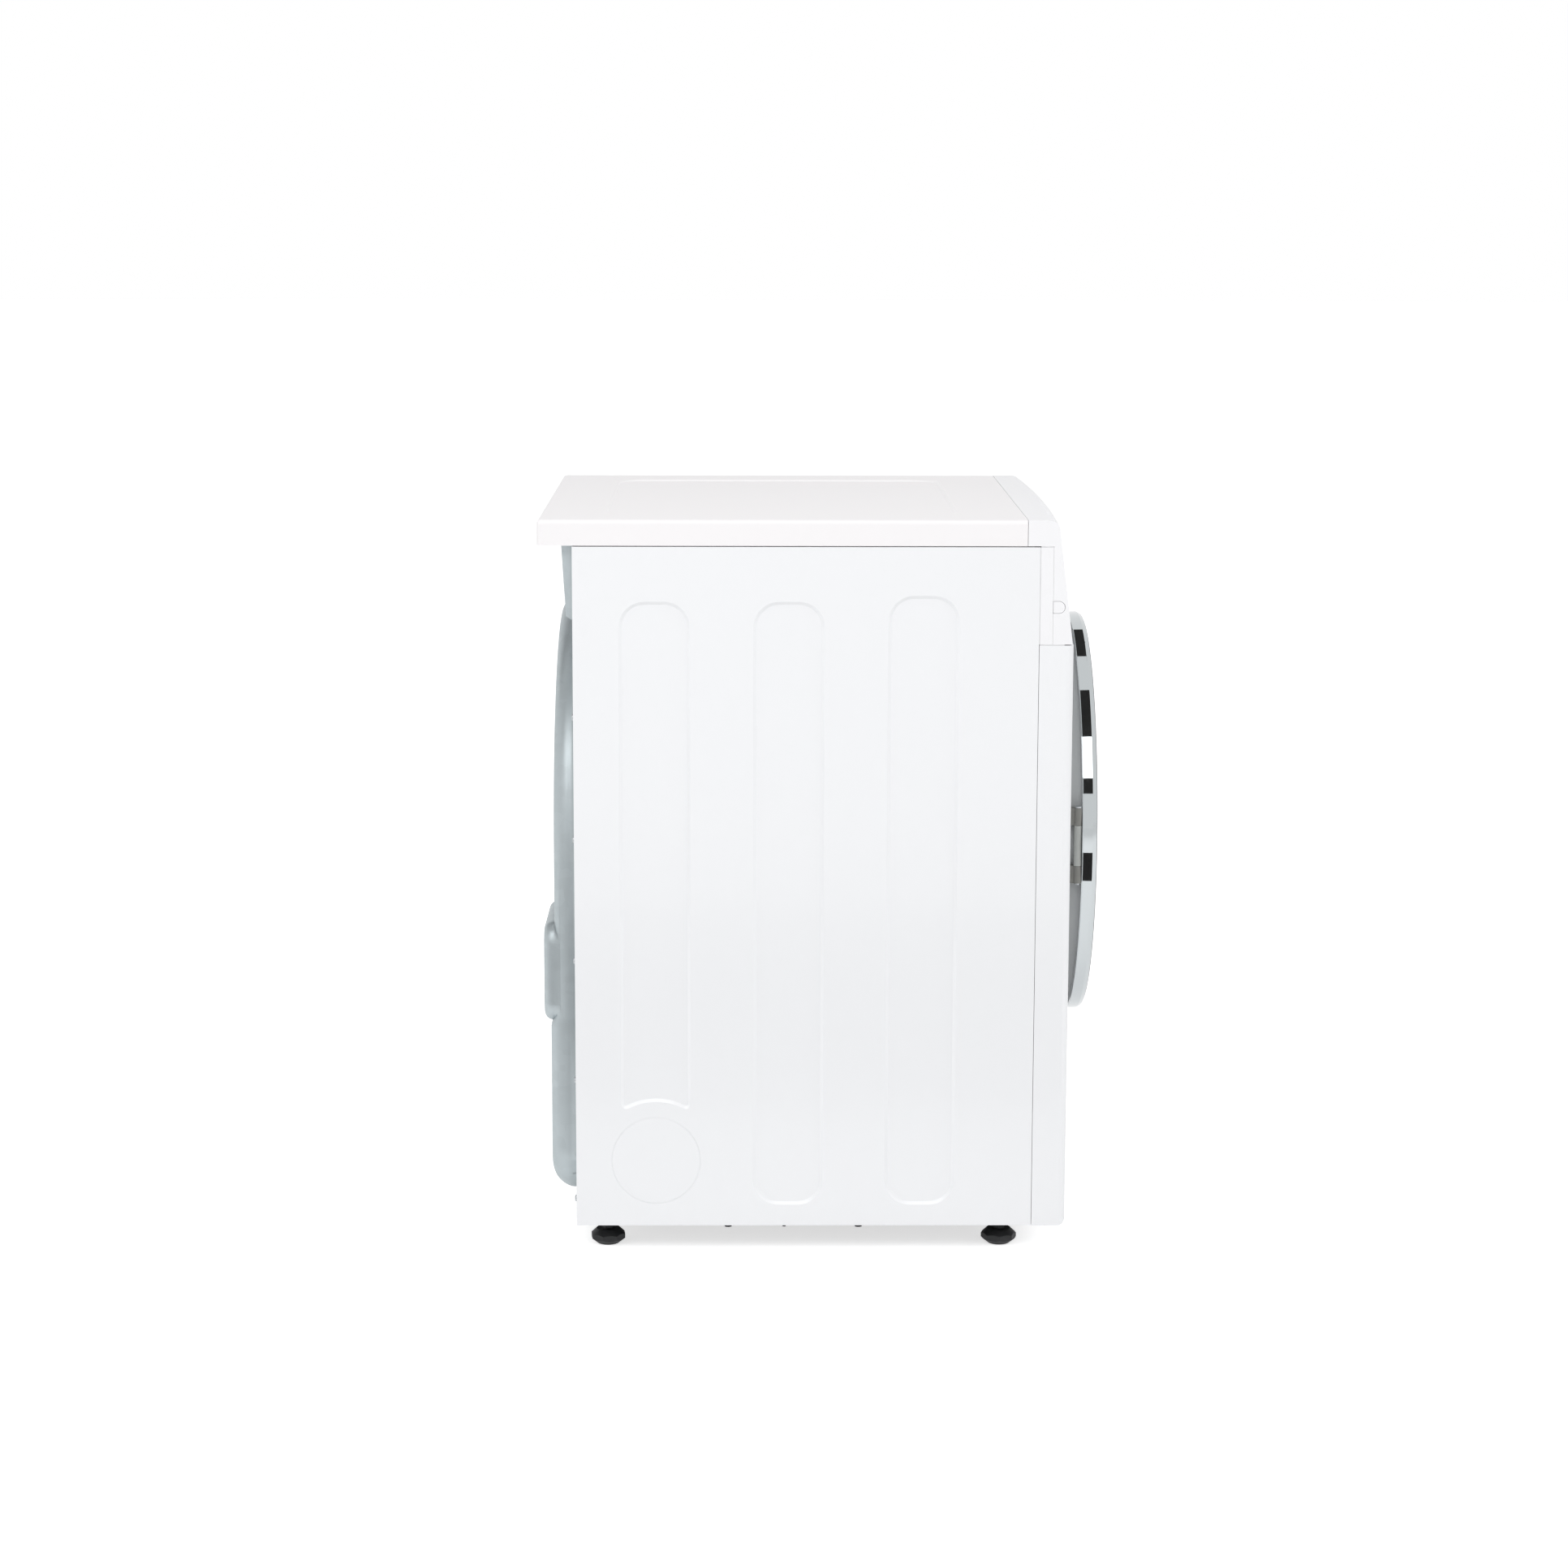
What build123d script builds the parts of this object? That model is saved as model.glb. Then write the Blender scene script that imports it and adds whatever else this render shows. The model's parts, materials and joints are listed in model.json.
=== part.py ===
from build123d import *
import math
import os

# Front-loading vented clothes dryer, 60 cm wide, as an assembly of separate pieces.
# Millimetres. X runs across the machine, with the left side (seen from the front) at -X.
# Y runs from the door (-Y) back to the wall (+Y), and Z runs up from the floor.

# Cabinet
WIDTH = 595.0
HEIGHT = 846.0
SIDE_LENGTH = 523.0
FRONT_RETURN = 39.0
REAR_OVERHANG = 39.3
SHEET = 0.8
RIM = 18.0
SIDE_BOTTOM = 32.5
SEAM = 0.5
SHADOW_GAP = 1.2
CORNER_RADIUS = 9.0

# Worktop and control panel
TOP_THICKNESS = 29.0
TOP_WALL = 3.0
TOP_EDGE_RADIUS = 5.0
TOP_SEAT_INSET = 6.0
DISH_INSET = 74.0
DISH_DEPTH = 1.6
DISH_CORNER = 34.0
CONTROL_TOP_DEPTH = 53.0
FASCIA_HEIGHT = 139.5
FASCIA_SETBACK = 1.6
FASCIA_TILT = 6.9
FASCIA_BOW = 6.0
FASCIA_TOP_RADIUS = 12.0
FASCIA_WALL = 2.5
CARRIER_SEAM_DEPTH = 24.0
TAB_HEIGHT = 13.2
TAB_LENGTH = 13.0
TAB_RISE = 42.0

# Pressed ribs and duct knock-out of the side panels
RIB_WIDTH = 80.0
RIB_DEPTH = 2.5
RIB_DRAFT = 55.0
RIB_CORNER = 29.0
RIB_PITCH = 151.0
RIB_FROM_REAR = 91.5
RIB_TOP_INSET = 61.5
RIB_FRONT_RAISE = 7.0
RIB_BOTTOM_INSET = 24.5
KNOCKOUT_RADIUS = 50.8
KNOCKOUT_RISE = 77.0
KNOCKOUT_MARGIN = 18.4
SCORE_WIDTH = 1.4
SCORE_DEPTH = 0.5

# Door
DOOR_RADIUS = 241.0
DOOR_PROUD = 36.0
DOOR_TOP_LAP = 0.5
DOOR_GAP = 18.0
DOOR_OVERLAP = 41.0
RING_BAND = 10.7
RING_BEVEL = 2.5
RING_WALL = 2.0
RING_BEAD = 0.7
RING_LIP = 3.0
RING_LEDGE = 10.0
GLASS_THICKNESS = 3.5
GLASS_PROUD = 0.8
LINER_INSET = 13.0
LINER_WALL = 2.5
DOOR_CLEARANCE = 3.0
BOWL_CLEARANCE = 30.0
BOWL_DEPTH = 48.0
BOWL_TAPER = 20.0
BOWL_WALL = 4.0
BOWL_LAND = 12.0
SEAL_WIDTH = 8.0
HINGE_INSET = 5.0
HINGE_OUT = 13.2
HINGE_PIN_RADIUS = 2.5
HINGE_BARREL_RADIUS = 4.5
HINGE_ARM_WIDTH = 8.0
HINGE_ARM_HEIGHT = 20.0
HINGE_LEAF_HEIGHT = 47.0
HINGE_PLATE = 2.5
LATCH_INSET = 21.5
LATCH_WIDTH = 5.0
LATCH_HEIGHT = 18.0
LATCH_DEPTH = 16.0
LATCH_CLEARANCE = 1.6
CATCH_WALL = 1.6
CATCH_SIDE = 6.0
CATCH_LUG = 12.0
HOOK_FOOT = 8.0

# Drum and its bearings
DRUM_SIDE_GAP = 18.5
DRUM_TO_DUCT = 14.0
NECK_STEP = 24.0
NECK_LENGTH = 24.0
SHOULDER_DEPTH = 6.0
NECK_BEHIND_PLATE = 26.7
DRUM_BACK_INSET = 12.0
LIFTER_WIDTH = 74.0
LIFTER_HEIGHT = 58.0
LIFTER_COUNT = 3
FELT_THICKNESS = 4.9
REAR_FELT_WIDTH = 9.0
ROLLER_RADIUS = 20.0
ROLLER_WIDTH = 18.0
ROLLER_ANGLE = 38.0
AXLE_RADIUS = 4.0
SPINDLE_RADIUS = 10.0
BUSH_WALL = 6.0
HUB_WALL = 8.0
HUB_FRONT = 5.0
HUB_REAR = 8.0
HUB_FLANGE = 3.0

# Front bulkhead, lint filter and air path
PLASTIC = 3.0
LIP_DEPTH = 9.0
FUNNEL_BEHIND_PLATE = 14.7
FUNNEL_LAND = 3.0
FUNNEL_STEP = 7.0
BULKHEAD_MARGIN = 11.0
FILTER_WIDTH = 180.0
FILTER_THICKNESS = 13.0
FILTER_CLEARANCE = 1.0
AIR_DUCT_WALL = 2.5
BLOWER_SIDE_GAP = 147.5
BLOWER_RISE = 9.2
DRUM_TO_BLOWER = 12.6
BLOWER_LENGTH = 58.0
WHEEL_GAP = 14.0
BLADE_COUNT = 20
INLET_LIP = 30.0
EXHAUST_SIDE_GAP = 147.5
EXHAUST_Z = 109.0
EXHAUST_RADIUS = 50.0
EXHAUST_WALL = 1.5
EXHAUST_PROUD = 35.0
EXHAUST_BEAD = 3.0

# Motor, belt and tensioner
MOTOR_RADIUS = 52.0
MOTOR_LENGTH = 112.0
MOTOR_GAP = 18.0
SHIELD_LENGTH = 14.0
SHIELD_STEP = 4.0
VENT_WIDTH = 8.0
CAPACITOR_RADIUS = 18.0
CAPACITOR_HEIGHT = 72.0
CAPACITOR_STEP = 55.0
CRADLE_INSET = 24.0
CRADLE_THICKNESS = 6.0
CRADLE_WIDTH = 88.0
CRADLE_DROP = 21.0
SHAFT_RADIUS = 6.0
PULLEY_RADIUS = 10.0
PULLEY_FLANGE = 3.0
BELT_WIDTH = 12.0
BELT_THICKNESS = 3.0
BELT_FROM_MOTOR = 22.0
IDLER_RADIUS = 16.0
IDLER_ALONG = 71.2
IDLER_BESIDE = 23.5
IDLER_ARM_DX = 60.0
IDLER_ARM_DZ = -50.0
IDLER_PIN_RADIUS = 4.0
ARM_THICKNESS = 5.0
ARM_WIDTH = 20.0
SPRING_RADIUS = 4.0

# Rear covers
RAIL_HEIGHT = 80.0
RAIL_PROUD_TOP = 13.5
RAIL_PROUD_FOLD = 10.8
RAIL_PROUD_BOTTOM = 8.5
RAIL_FOLD_DROP = 46.0
RAIL_LIP = 9.0
COVER_SIDE_GAP = 39.5
COVER_PROUD = 26.0
COVER_EDGE_RADIUS = 18.0
COVER_FLANGE = 9.0
COVER_BOTTOM = 64.0
COVER_LEG_WIDTH = 198.0
COVER_LEG_CORNER = 58.0
BUMP_PROUD = 12.0
BUMP_WIDTH = 158.0
BUMP_DROP = 191.0
BUMP_HEIGHT = 102.0
HEATER_TUBE_RADIUS = 4.0

BUMP_INSET = 4.0
BUMP_CORNER = 24.0
AIR_RING_INNER = 90.0
AIR_RING_MARGIN = 36.0
AIR_HOLE_RADIUS = 7.0
SPOKE_WIDTH = 32.0
LOUVRE_PITCH = 14.0
LOUVRE_HEIGHT = 6.0
LOUVRE_MARGIN = 44.0
HEATER_STEP = 34.0
HEATER_STAND_OFF = 12.0
HEATER_BEND = 15.0
HEATER_RISE = 84.0
STRAP_HEIGHT = 8.0
STRAP_INSET = 45.0
GLAND_RADIUS = 11.0
GLAND_BORE = 5.0
GLAND_SIDE_GAP = 62.0
GLAND_DROP = 45.0

# Base, feet and screws
BASE_HEIGHT = 30.0
BASE_FLOOR = 3.5
FOOT_X_INSET = 42.5
FOOT_Y_INSET = 34.5
FOOT_HEIGHT = 17.5
FOOT_RADIUS = 20.5
STUD_RADIUS = 4.9
HEX_ACROSS = 13.0
SCREW_RADIUS = 4.0
SCREW_HEAD = 2.2
SCREW_FIRST = 30.0
SCREW_PITCH = 140.0
PEG_RADIUS = 4.2
PEG_DROP = 3.5
PEG_FORWARD = 62.5
PEG_MIDDLE = 23.0
PEG_BACK = 87.5

# Controls
KNOB_RADIUS = 25.0
KNOB_HEIGHT = 12.0
KNOB_RISE = 59.5
KNOB_FLUTES = 20
DISPLAY_X = 135.0
DISPLAY_RISE = 77.5
DISPLAY_WIDTH = 104.0
DISPLAY_HEIGHT = 34.0
BUTTON_WIDTH = 24.0
BUTTON_HEIGHT = 9.0
BUTTON_RISE = 38.5
BUTTON_PITCH = 34.0
BUTTON_PROUD = 2.0
BUTTON_TRAVEL = 1.5
START_X = 222.0
START_RADIUS = 13.0
CONTROL_CLEARANCE = 0.4
BOARD_THICKNESS = 1.6
BOARD_LEFT = -60.0
BOARD_EDGE = 8.0
BOARD_MARGIN = 19.0
BOARD_LEAD = 4.0
BOARD_POST_RADIUS = 3.5
SWITCH_SIZE = 20.0
SWITCH_HEIGHT = 2.0
DISPLAY_BODY_HEIGHT = 6.0
DISPLAY_BODY_INSET = 12.0
LENS_LAND = 4.0
LENS_CORNER = 3.0
STEM_RADIUS = 2.5
KNOB_SKIRT = 3.0
FLUTE_RADIUS = 1.4

# Clearances shared by every fit
FIT = 0.05
RUN_GAP = 0.3


def blower_radius():
    """Radius of a housing that stands on the base at BLOWER_X and just clears the drum."""
    rise = DOOR_Z - BASE_TOP - BLOWER_RISE
    reach = DRUM_RADIUS + DRUM_TO_BLOWER
    return (BLOWER_X ** 2 + rise ** 2 - reach ** 2) / (2 * (rise + reach))


def slack_run():
    """Angle of the belt's straight run from the under side of the pulley to the drum."""
    rise = DOOR_Z - BLOWER_Z
    return math.atan2(rise, -BLOWER_X) - math.asin((DRUM_RADIUS - PULLEY_RADIUS) / math.hypot(rise, BLOWER_X))


# Stations worked out from the sizes above
HALF = WIDTH / 2
DEPTH = DOOR_PROUD + FRONT_RETURN + SIDE_LENGTH + REAR_OVERHANG
FACE = DOOR_PROUD - DEPTH / 2
SIDE_FRONT = FACE + FRONT_RETURN
SIDE_REAR = SIDE_FRONT + SIDE_LENGTH
TOP_REAR = SIDE_REAR + REAR_OVERHANG
TOP_BOTTOM = HEIGHT - TOP_THICKNESS
SIDE_TOP = TOP_BOTTOM - SHADOW_GAP
TOP_FRONT = FACE + CONTROL_TOP_DEPTH
FASCIA_BOTTOM = HEIGHT - FASCIA_HEIGHT
FRONT_TOP = FASCIA_BOTTOM - 2 * SEAM
FRONT_BOTTOM = SIDE_BOTTOM - SEAM
CARRIER_FRONT = FACE + CARRIER_SEAM_DEPTH
DOOR_Z = FASCIA_BOTTOM + DOOR_TOP_LAP - DOOR_RADIUS

HOLE_RADIUS = DOOR_RADIUS - DOOR_OVERLAP
BOWL_RADIUS = HOLE_RADIUS - BOWL_CLEARANCE
LINER_RADIUS = DOOR_RADIUS - LINER_INSET
LINER_REAR = FACE - DOOR_CLEARANCE
RING_REAR = FACE - DOOR_GAP
RING_SHOULDER = RING_REAR - RING_BAND
GLASS_FRONT = FACE - DOOR_PROUD
RING_FRONT = GLASS_FRONT + GLASS_PROUD
GLASS_REAR = GLASS_FRONT + GLASS_THICKNESS
HINGE_X = HINGE_INSET - DOOR_RADIUS
HINGE_Y = FACE - HINGE_OUT
HINGE_ARM_Z = (HINGE_LEAF_HEIGHT + HINGE_ARM_HEIGHT) / 2 + RUN_GAP
LATCH_X = DOOR_RADIUS - LATCH_INSET

DRUM_RADIUS = min(HALF - DRUM_SIDE_GAP, DOOR_Z - EXHAUST_Z - EXHAUST_RADIUS - DRUM_TO_DUCT)
DRUM_INNER = DRUM_RADIUS - SHEET
NECK_RADIUS = DRUM_RADIUS - NECK_STEP
RIM_RADIUS = NECK_RADIUS - SHEET - RUN_GAP - FELT_THICKNESS
PLATE_FRONT = SIDE_FRONT + SEAM + SHEET
PLATE_REAR = PLATE_FRONT + PLASTIC
FUNNEL_FRONT = FACE + LIP_DEPTH + RUN_GAP
FUNNEL_RADIUS = HOLE_RADIUS + FUNNEL_LAND
CATCH_REAR = FACE + LATCH_DEPTH + LATCH_CLEARANCE + CATCH_WALL
FUNNEL_FLARE = CATCH_REAR + PLASTIC
FUNNEL_REAR = PLATE_REAR + FUNNEL_BEHIND_PLATE
NECK_FRONT = PLATE_REAR + NECK_BEHIND_PLATE
SHOULDER = NECK_FRONT + NECK_LENGTH
RIM_REAR = SHOULDER - NECK_LENGTH / 2
REAR_SHEET_BACK = SIDE_REAR - SHEET
REAR_SHEET_FRONT = REAR_SHEET_BACK - SHEET
RAIL_TOP = SIDE_TOP - SEAM
COVER_RADIUS = min(HALF - COVER_SIDE_GAP, RAIL_TOP - RAIL_HEIGHT - RAIL_LIP - SEAM - DOOR_Z)
AIR_RING_OUTER = COVER_RADIUS - AIR_RING_MARGIN
BUMP_BOTTOM = DOOR_Z - BUMP_DROP
GLAND_X = HALF - GLAND_SIDE_GAP
GLAND_Z = RAIL_TOP - RAIL_HEIGHT - GLAND_DROP
DRUM_REAR = REAR_SHEET_FRONT - REAR_FELT_WIDTH - RUN_GAP
DRUM_BACK = DRUM_REAR - DRUM_BACK_INSET
ROLLER_ORBIT = NECK_RADIUS + ROLLER_RADIUS + RUN_GAP
ROLLER_X = ROLLER_ORBIT * math.sin(math.radians(ROLLER_ANGLE))
ROLLER_Z = DOOR_Z - ROLLER_ORBIT * math.cos(math.radians(ROLLER_ANGLE))
ROLLER_FRONT = SHOULDER - 4 * PLASTIC / 3 - ROLLER_WIDTH
BUSH_RADIUS = SPINDLE_RADIUS + FIT + BUSH_WALL
HUB_RADIUS = BUSH_RADIUS + HUB_WALL

BASE_BOTTOM = SIDE_BOTTOM + SHEET
PEG_X = HALF - RIM / 2
BASE_TOP = BASE_BOTTOM + BASE_FLOOR
BASE_RIM = BASE_BOTTOM + BASE_HEIGHT
BLOWER_X = BLOWER_SIDE_GAP - HALF
BLOWER_RADIUS = blower_radius()
BLOWER_Z = BASE_TOP + BLOWER_RISE + BLOWER_RADIUS
INLET_RADIUS = BLOWER_RADIUS - INLET_LIP
EXHAUST_X = HALF - EXHAUST_SIDE_GAP
DUCT_FRONT = PLATE_REAR + RUN_GAP
DUCT_REAR = NECK_FRONT + 4.0
DUCT_UPPER_REAR = NECK_FRONT - 2.0
FILTER_MIDDLE = (DUCT_FRONT + DUCT_UPPER_REAR) / 2
BLOWER_FRONT = DUCT_REAR + RUN_GAP
BLOWER_REAR = BLOWER_FRONT + BLOWER_LENGTH
WHEEL_RADIUS = BLOWER_RADIUS - WHEEL_GAP
MOTOR_FRONT = BLOWER_REAR + MOTOR_GAP
MOTOR_REAR = MOTOR_FRONT + MOTOR_LENGTH
BELT_FRONT = MOTOR_REAR + BELT_FROM_MOTOR
BELT_REAR = BELT_FRONT + BELT_WIDTH
PULLEY_FRONT = BELT_FRONT - 2.0
PULLEY_REAR = BELT_REAR + 2.0
SLACK_RUN = slack_run()
IDLER_X = BLOWER_X + IDLER_ALONG * math.cos(SLACK_RUN) + IDLER_BESIDE * math.sin(SLACK_RUN)
IDLER_Z = BLOWER_Z + IDLER_ALONG * math.sin(SLACK_RUN) - IDLER_BESIDE * math.cos(SLACK_RUN)
PIVOT_X = IDLER_X + IDLER_ARM_DX
PIVOT_Z = IDLER_Z + IDLER_ARM_DZ
ARM_FRONT = BELT_REAR + 3.0
ARM_REAR = ARM_FRONT + ARM_THICKNESS

BOW_RADIUS = (HALF ** 2 + FASCIA_BOW ** 2) / (2 * FASCIA_BOW)
FASCIA_FRONT = FACE + FASCIA_SETBACK - FASCIA_BOW
BOW_CENTRE = FASCIA_FRONT + BOW_RADIUS
TILT = math.radians(FASCIA_TILT)
KNOB_Z = FASCIA_BOTTOM + KNOB_RISE
DISPLAY_Z = FASCIA_BOTTOM + DISPLAY_RISE
BUTTON_Z = FASCIA_BOTTOM + BUTTON_RISE
BOARD_FRONT = CARRIER_FRONT - BOARD_LEAD
BOARD_REAR = BOARD_FRONT + BOARD_THICKNESS
BOARD_RIGHT = START_X + 2 * START_RADIUS
BOARD_BOTTOM = BUTTON_Z - BOARD_MARGIN
BOARD_TOP = DISPLAY_Z + BOARD_MARGIN


def block(x, y, z):
    """Box between two limits on each axis."""
    middle = [(lo + hi) / 2 for lo, hi in (x, y, z)]
    size = [hi - lo for lo, hi in (x, y, z)]
    return Pos(*middle) * Box(*size)


def rod(radius, y, x=0.0, z=DOOR_Z):
    """Cylinder along Y between the limits y."""
    return Pos(x, (y[0] + y[1]) / 2, z) * Rot(90, 0, 0) * Cylinder(radius, y[1] - y[0])


def tube(outer, inner, y, x=0.0, z=DOOR_Z):
    """Pipe along Y."""
    return rod(outer, y, x, z) - rod(inner, y, x, z)


def post(radius, z, x, y):
    """Upright cylinder between the limits z."""
    return Pos(x, y, (z[0] + z[1]) / 2) * Cylinder(radius, z[1] - z[0])


def turned(corners, x=0.0, z=DOOR_Z):
    """Solid turned about an axis along Y, from (radius, y) corners."""
    return Pos(x, 0, z) * revolve(make_face(Polyline(*corners, close=True)), Axis.Y)


def prism(outline, y):
    """Outline drawn as (x, z), pushed along Y between the limits y."""
    return extrude(Pos(0, y[0], 0) * (Plane.XZ * outline), amount=y[1] - y[0], dir=(0, 1, 0))


def about_y(shape, angle, x=0.0, z=DOOR_Z):
    """Copy of a shape turned about an axis along Y."""
    return Pos(x, 0, z) * Rot(0, angle, 0) * Pos(-x, 0, -z) * shape


# Outer cabinet

def rib_outlines():
    """The three pressed ribs, drawn as (y, z), from the rear forwards."""
    tops = [SIDE_TOP - RIB_TOP_INSET + rise for rise in (0, 0, RIB_FRONT_RAISE)]
    bottom = SIDE_BOTTOM + RIB_BOTTOM_INSET
    outlines = []
    for number, top in enumerate(tops):
        middle = SIDE_REAR - RIB_FROM_REAR - number * RIB_PITCH
        rib = Pos(middle, (top + bottom) / 2) * RectangleRounded(RIB_WIDTH, top - bottom, RIB_CORNER)
        if number == 0:
            rib -= Pos(middle, SIDE_BOTTOM + KNOCKOUT_RISE) * Circle(KNOCKOUT_RADIUS + KNOCKOUT_MARGIN)
            rib = rib.faces().sort_by(Axis.Y)[-1]
            ends = rib.vertices().sort_by(Axis.Y)[:2]
            rib = fillet(ends, RIB_CORNER / 5)
        outlines.append(rib)
    return outlines


def pressed(outline, depth):
    """Rib form pushed into the left side's sheet, with sloping walls."""
    return extrude(Pos(-HALF, 0, 0) * (Plane.YZ * outline), amount=depth, taper=RIB_DRAFT)


def left_side_panel():
    """One sheet with its rim folded in all round, three pressed ribs and a scored duct knock-out."""
    y = (SIDE_FRONT + SEAM, SIDE_REAR)
    panel = block((-HALF, -HALF + RIM), y, (SIDE_BOTTOM, SIDE_TOP))
    panel -= block((-HALF + SHEET, -HALF + 2 * RIM), (y[0] + SHEET, y[1] - SHEET),
                   (SIDE_BOTTOM + SHEET, SIDE_TOP - SHEET))
    for outline in rib_outlines():
        panel += pressed(offset(outline, SHEET), RIB_DEPTH + SHEET)
        panel -= pressed(outline, RIB_DEPTH)
    score = Circle(KNOCKOUT_RADIUS + SCORE_WIDTH / 2) - Circle(KNOCKOUT_RADIUS - SCORE_WIDTH / 2)
    centre = Pos(-HALF, SIDE_REAR - RIB_FROM_REAR, SIDE_BOTTOM + KNOCKOUT_RISE)
    panel -= extrude(centre * (Plane.YZ * score), amount=SCORE_DEPTH)
    for y_peg in base_pegs():
        panel -= post(PEG_RADIUS + RUN_GAP, (SIDE_BOTTOM - 1, SIDE_BOTTOM + 2), -PEG_X, y_peg)
    return panel


def worktop():
    """Hollow moulded top with rounded edges and a shallow dish pressed into it."""
    y = (TOP_FRONT + SEAM, TOP_REAR)
    z = (TOP_BOTTOM, HEIGHT)
    top = block((-HALF, HALF), y, z)
    edges = top.edges().group_by(Axis.Z)[-1].sort_by(Axis.Y)[1:]
    edges += top.edges().filter_by(Axis.Z).group_by(Axis.Y)[-1]
    top = fillet(edges, TOP_EDGE_RADIUS)
    seat = (-HALF + TOP_SEAT_INSET, HALF - TOP_SEAT_INSET)
    seat_y = (SIDE_FRONT + TOP_SEAT_INSET + SEAM, SIDE_REAR - TOP_SEAT_INSET)
    top += block(seat, seat_y, (SIDE_TOP, TOP_BOTTOM))
    top -= block((seat[0] + TOP_WALL, seat[1] - TOP_WALL), (seat_y[0] + TOP_WALL, seat_y[1] - TOP_WALL),
                 (SIDE_TOP - 1, HEIGHT - TOP_WALL - DISH_DEPTH))
    dish = RectangleRounded(WIDTH - 2 * DISH_INSET, y[1] - y[0] - 2 * DISH_INSET, DISH_CORNER)
    floor = Plane((0, (y[0] + y[1]) / 2, HEIGHT), x_dir=(1, 0, 0), z_dir=(0, 0, -1))
    return top - extrude(floor * dish, amount=DISH_DEPTH, taper=RIB_DRAFT)


def front_skin(inset):
    """Outer form of the front panel, or the space inside its sheet."""
    rear = SIDE_FRONT if inset == 0 else SIDE_FRONT + RIM
    skin = block((-HALF + inset, HALF - inset), (FACE + inset, rear),
                 (FRONT_BOTTOM + inset, FRONT_TOP - inset))
    front = skin.faces().sort_by(Axis.Y)[0]
    edges = front.edges().sort_by(Axis.Z)[:-1]
    return fillet(edges, CORNER_RADIUS - inset)


def front_panel():
    """Painted front: folded sides, door hole with a lip, hinge slots and latch slot."""
    panel = front_skin(0) - front_skin(SHEET)
    lip = (FACE, FACE + LIP_DEPTH)
    panel += tube(HOLE_RADIUS + SHEET, HOLE_RADIUS, (FACE + SHEET / 2, lip[1]))
    panel -= rod(HOLE_RADIUS, (FACE - 1, lip[1] + 1))
    slot_x = (HINGE_X - 1 - SEAM, HINGE_X - 1 + HINGE_ARM_WIDTH + SEAM)
    half = HINGE_ARM_HEIGHT / 2 + SEAM
    for side in (-1, 1):
        middle = DOOR_Z + side * HINGE_ARM_Z
        panel -= block(slot_x, (FACE - 1, FACE + 2), (middle - half, middle + half))
    reach = LATCH_WIDTH / 2 + LATCH_CLEARANCE
    rise = LATCH_HEIGHT / 2 + LATCH_CLEARANCE
    panel -= block((LATCH_X - reach, LATCH_X + reach), (FACE - 1, FACE + 2),
                   (DOOR_Z - rise, DOOR_Z + rise))
    return panel


# Control panel

def face_y(z):
    """Where the fascia's middle line stands at a height."""
    return FASCIA_FRONT + (z - FASCIA_BOTTOM) * math.tan(TILT)


def on_fascia(x, z, shape):
    """Shape drawn on the fascia, its own z pointing out of the sloping, bowed face."""
    face = Plane((0, face_y(z), z), x_dir=(1, 0, 0), z_dir=(0, -math.cos(TILT), math.sin(TILT)))
    turn = math.degrees(math.asin(x / (BOW_CENTRE - face_y(z))))
    return Pos(0, BOW_CENTRE, 0) * Rot(0, 0, turn) * Pos(0, -BOW_CENTRE, 0) * face.location * shape


def fascia_form(inset):
    """The bowed, sloping control panel as one swept form."""
    top = HEIGHT - inset
    low = FASCIA_BOTTOM - inset
    shift = inset / math.cos(TILT)
    rear = TOP_FRONT + 2 * FASCIA_BOW + RIM
    corners = [(face_y(low) + shift, low), (face_y(top) + shift, top), (rear, top), (rear, low)]
    section = make_face(Polyline(*corners, close=True))
    nose = section.vertices().sort_by_distance((face_y(top) + shift, top, 0))[0]
    section = fillet(nose, FASCIA_TOP_RADIUS - inset)
    arc = 2 * math.degrees(math.asin(HALF / (BOW_RADIUS - 4 * RIM))) + 1
    axis = Axis((0, BOW_CENTRE, 0), (0, 0, 1))
    form = revolve(Plane.YZ * section, axis, arc).rotate(axis, -arc / 2)
    wall = 0 if inset == 0 else FASCIA_WALL
    y_low = FACE - 2 * RIM
    upper = block((-HALF + wall, HALF - wall), (y_low, TOP_FRONT), (TOP_BOTTOM - inset, HEIGHT))
    lower = block((-HALF + wall, HALF - wall), (y_low, CARRIER_FRONT), (low - 1, TOP_BOTTOM))
    if inset:
        upper = block((-HALF + wall, HALF - wall), (y_low, TOP_FRONT + RIM), (TOP_BOTTOM - inset, HEIGHT))
        lower = block((-HALF + wall, HALF - wall), (y_low, CARRIER_FRONT + RIM), (low - 1, TOP_BOTTOM))
    return form & (upper + lower)


def tab_outline(grow):
    """D-shaped snap tab at the end of the control panel, drawn as (y, z)."""
    radius = TAB_HEIGHT / 2
    straight = TAB_LENGTH - radius
    z = FASCIA_BOTTOM + TAB_RISE
    bar = Pos(CARRIER_FRONT - straight / 2 + grow, z) * Rectangle(straight + 2 * grow, TAB_HEIGHT + 2 * grow)
    return bar + Pos(CARRIER_FRONT - straight, z) * Circle(radius + grow)


def button_sites():
    """Name and x of each option button, in a row under the display."""
    return [("option_button_%d" % (n + 1), DISPLAY_X + (n - 1) * BUTTON_PITCH) for n in range(3)]


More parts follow.
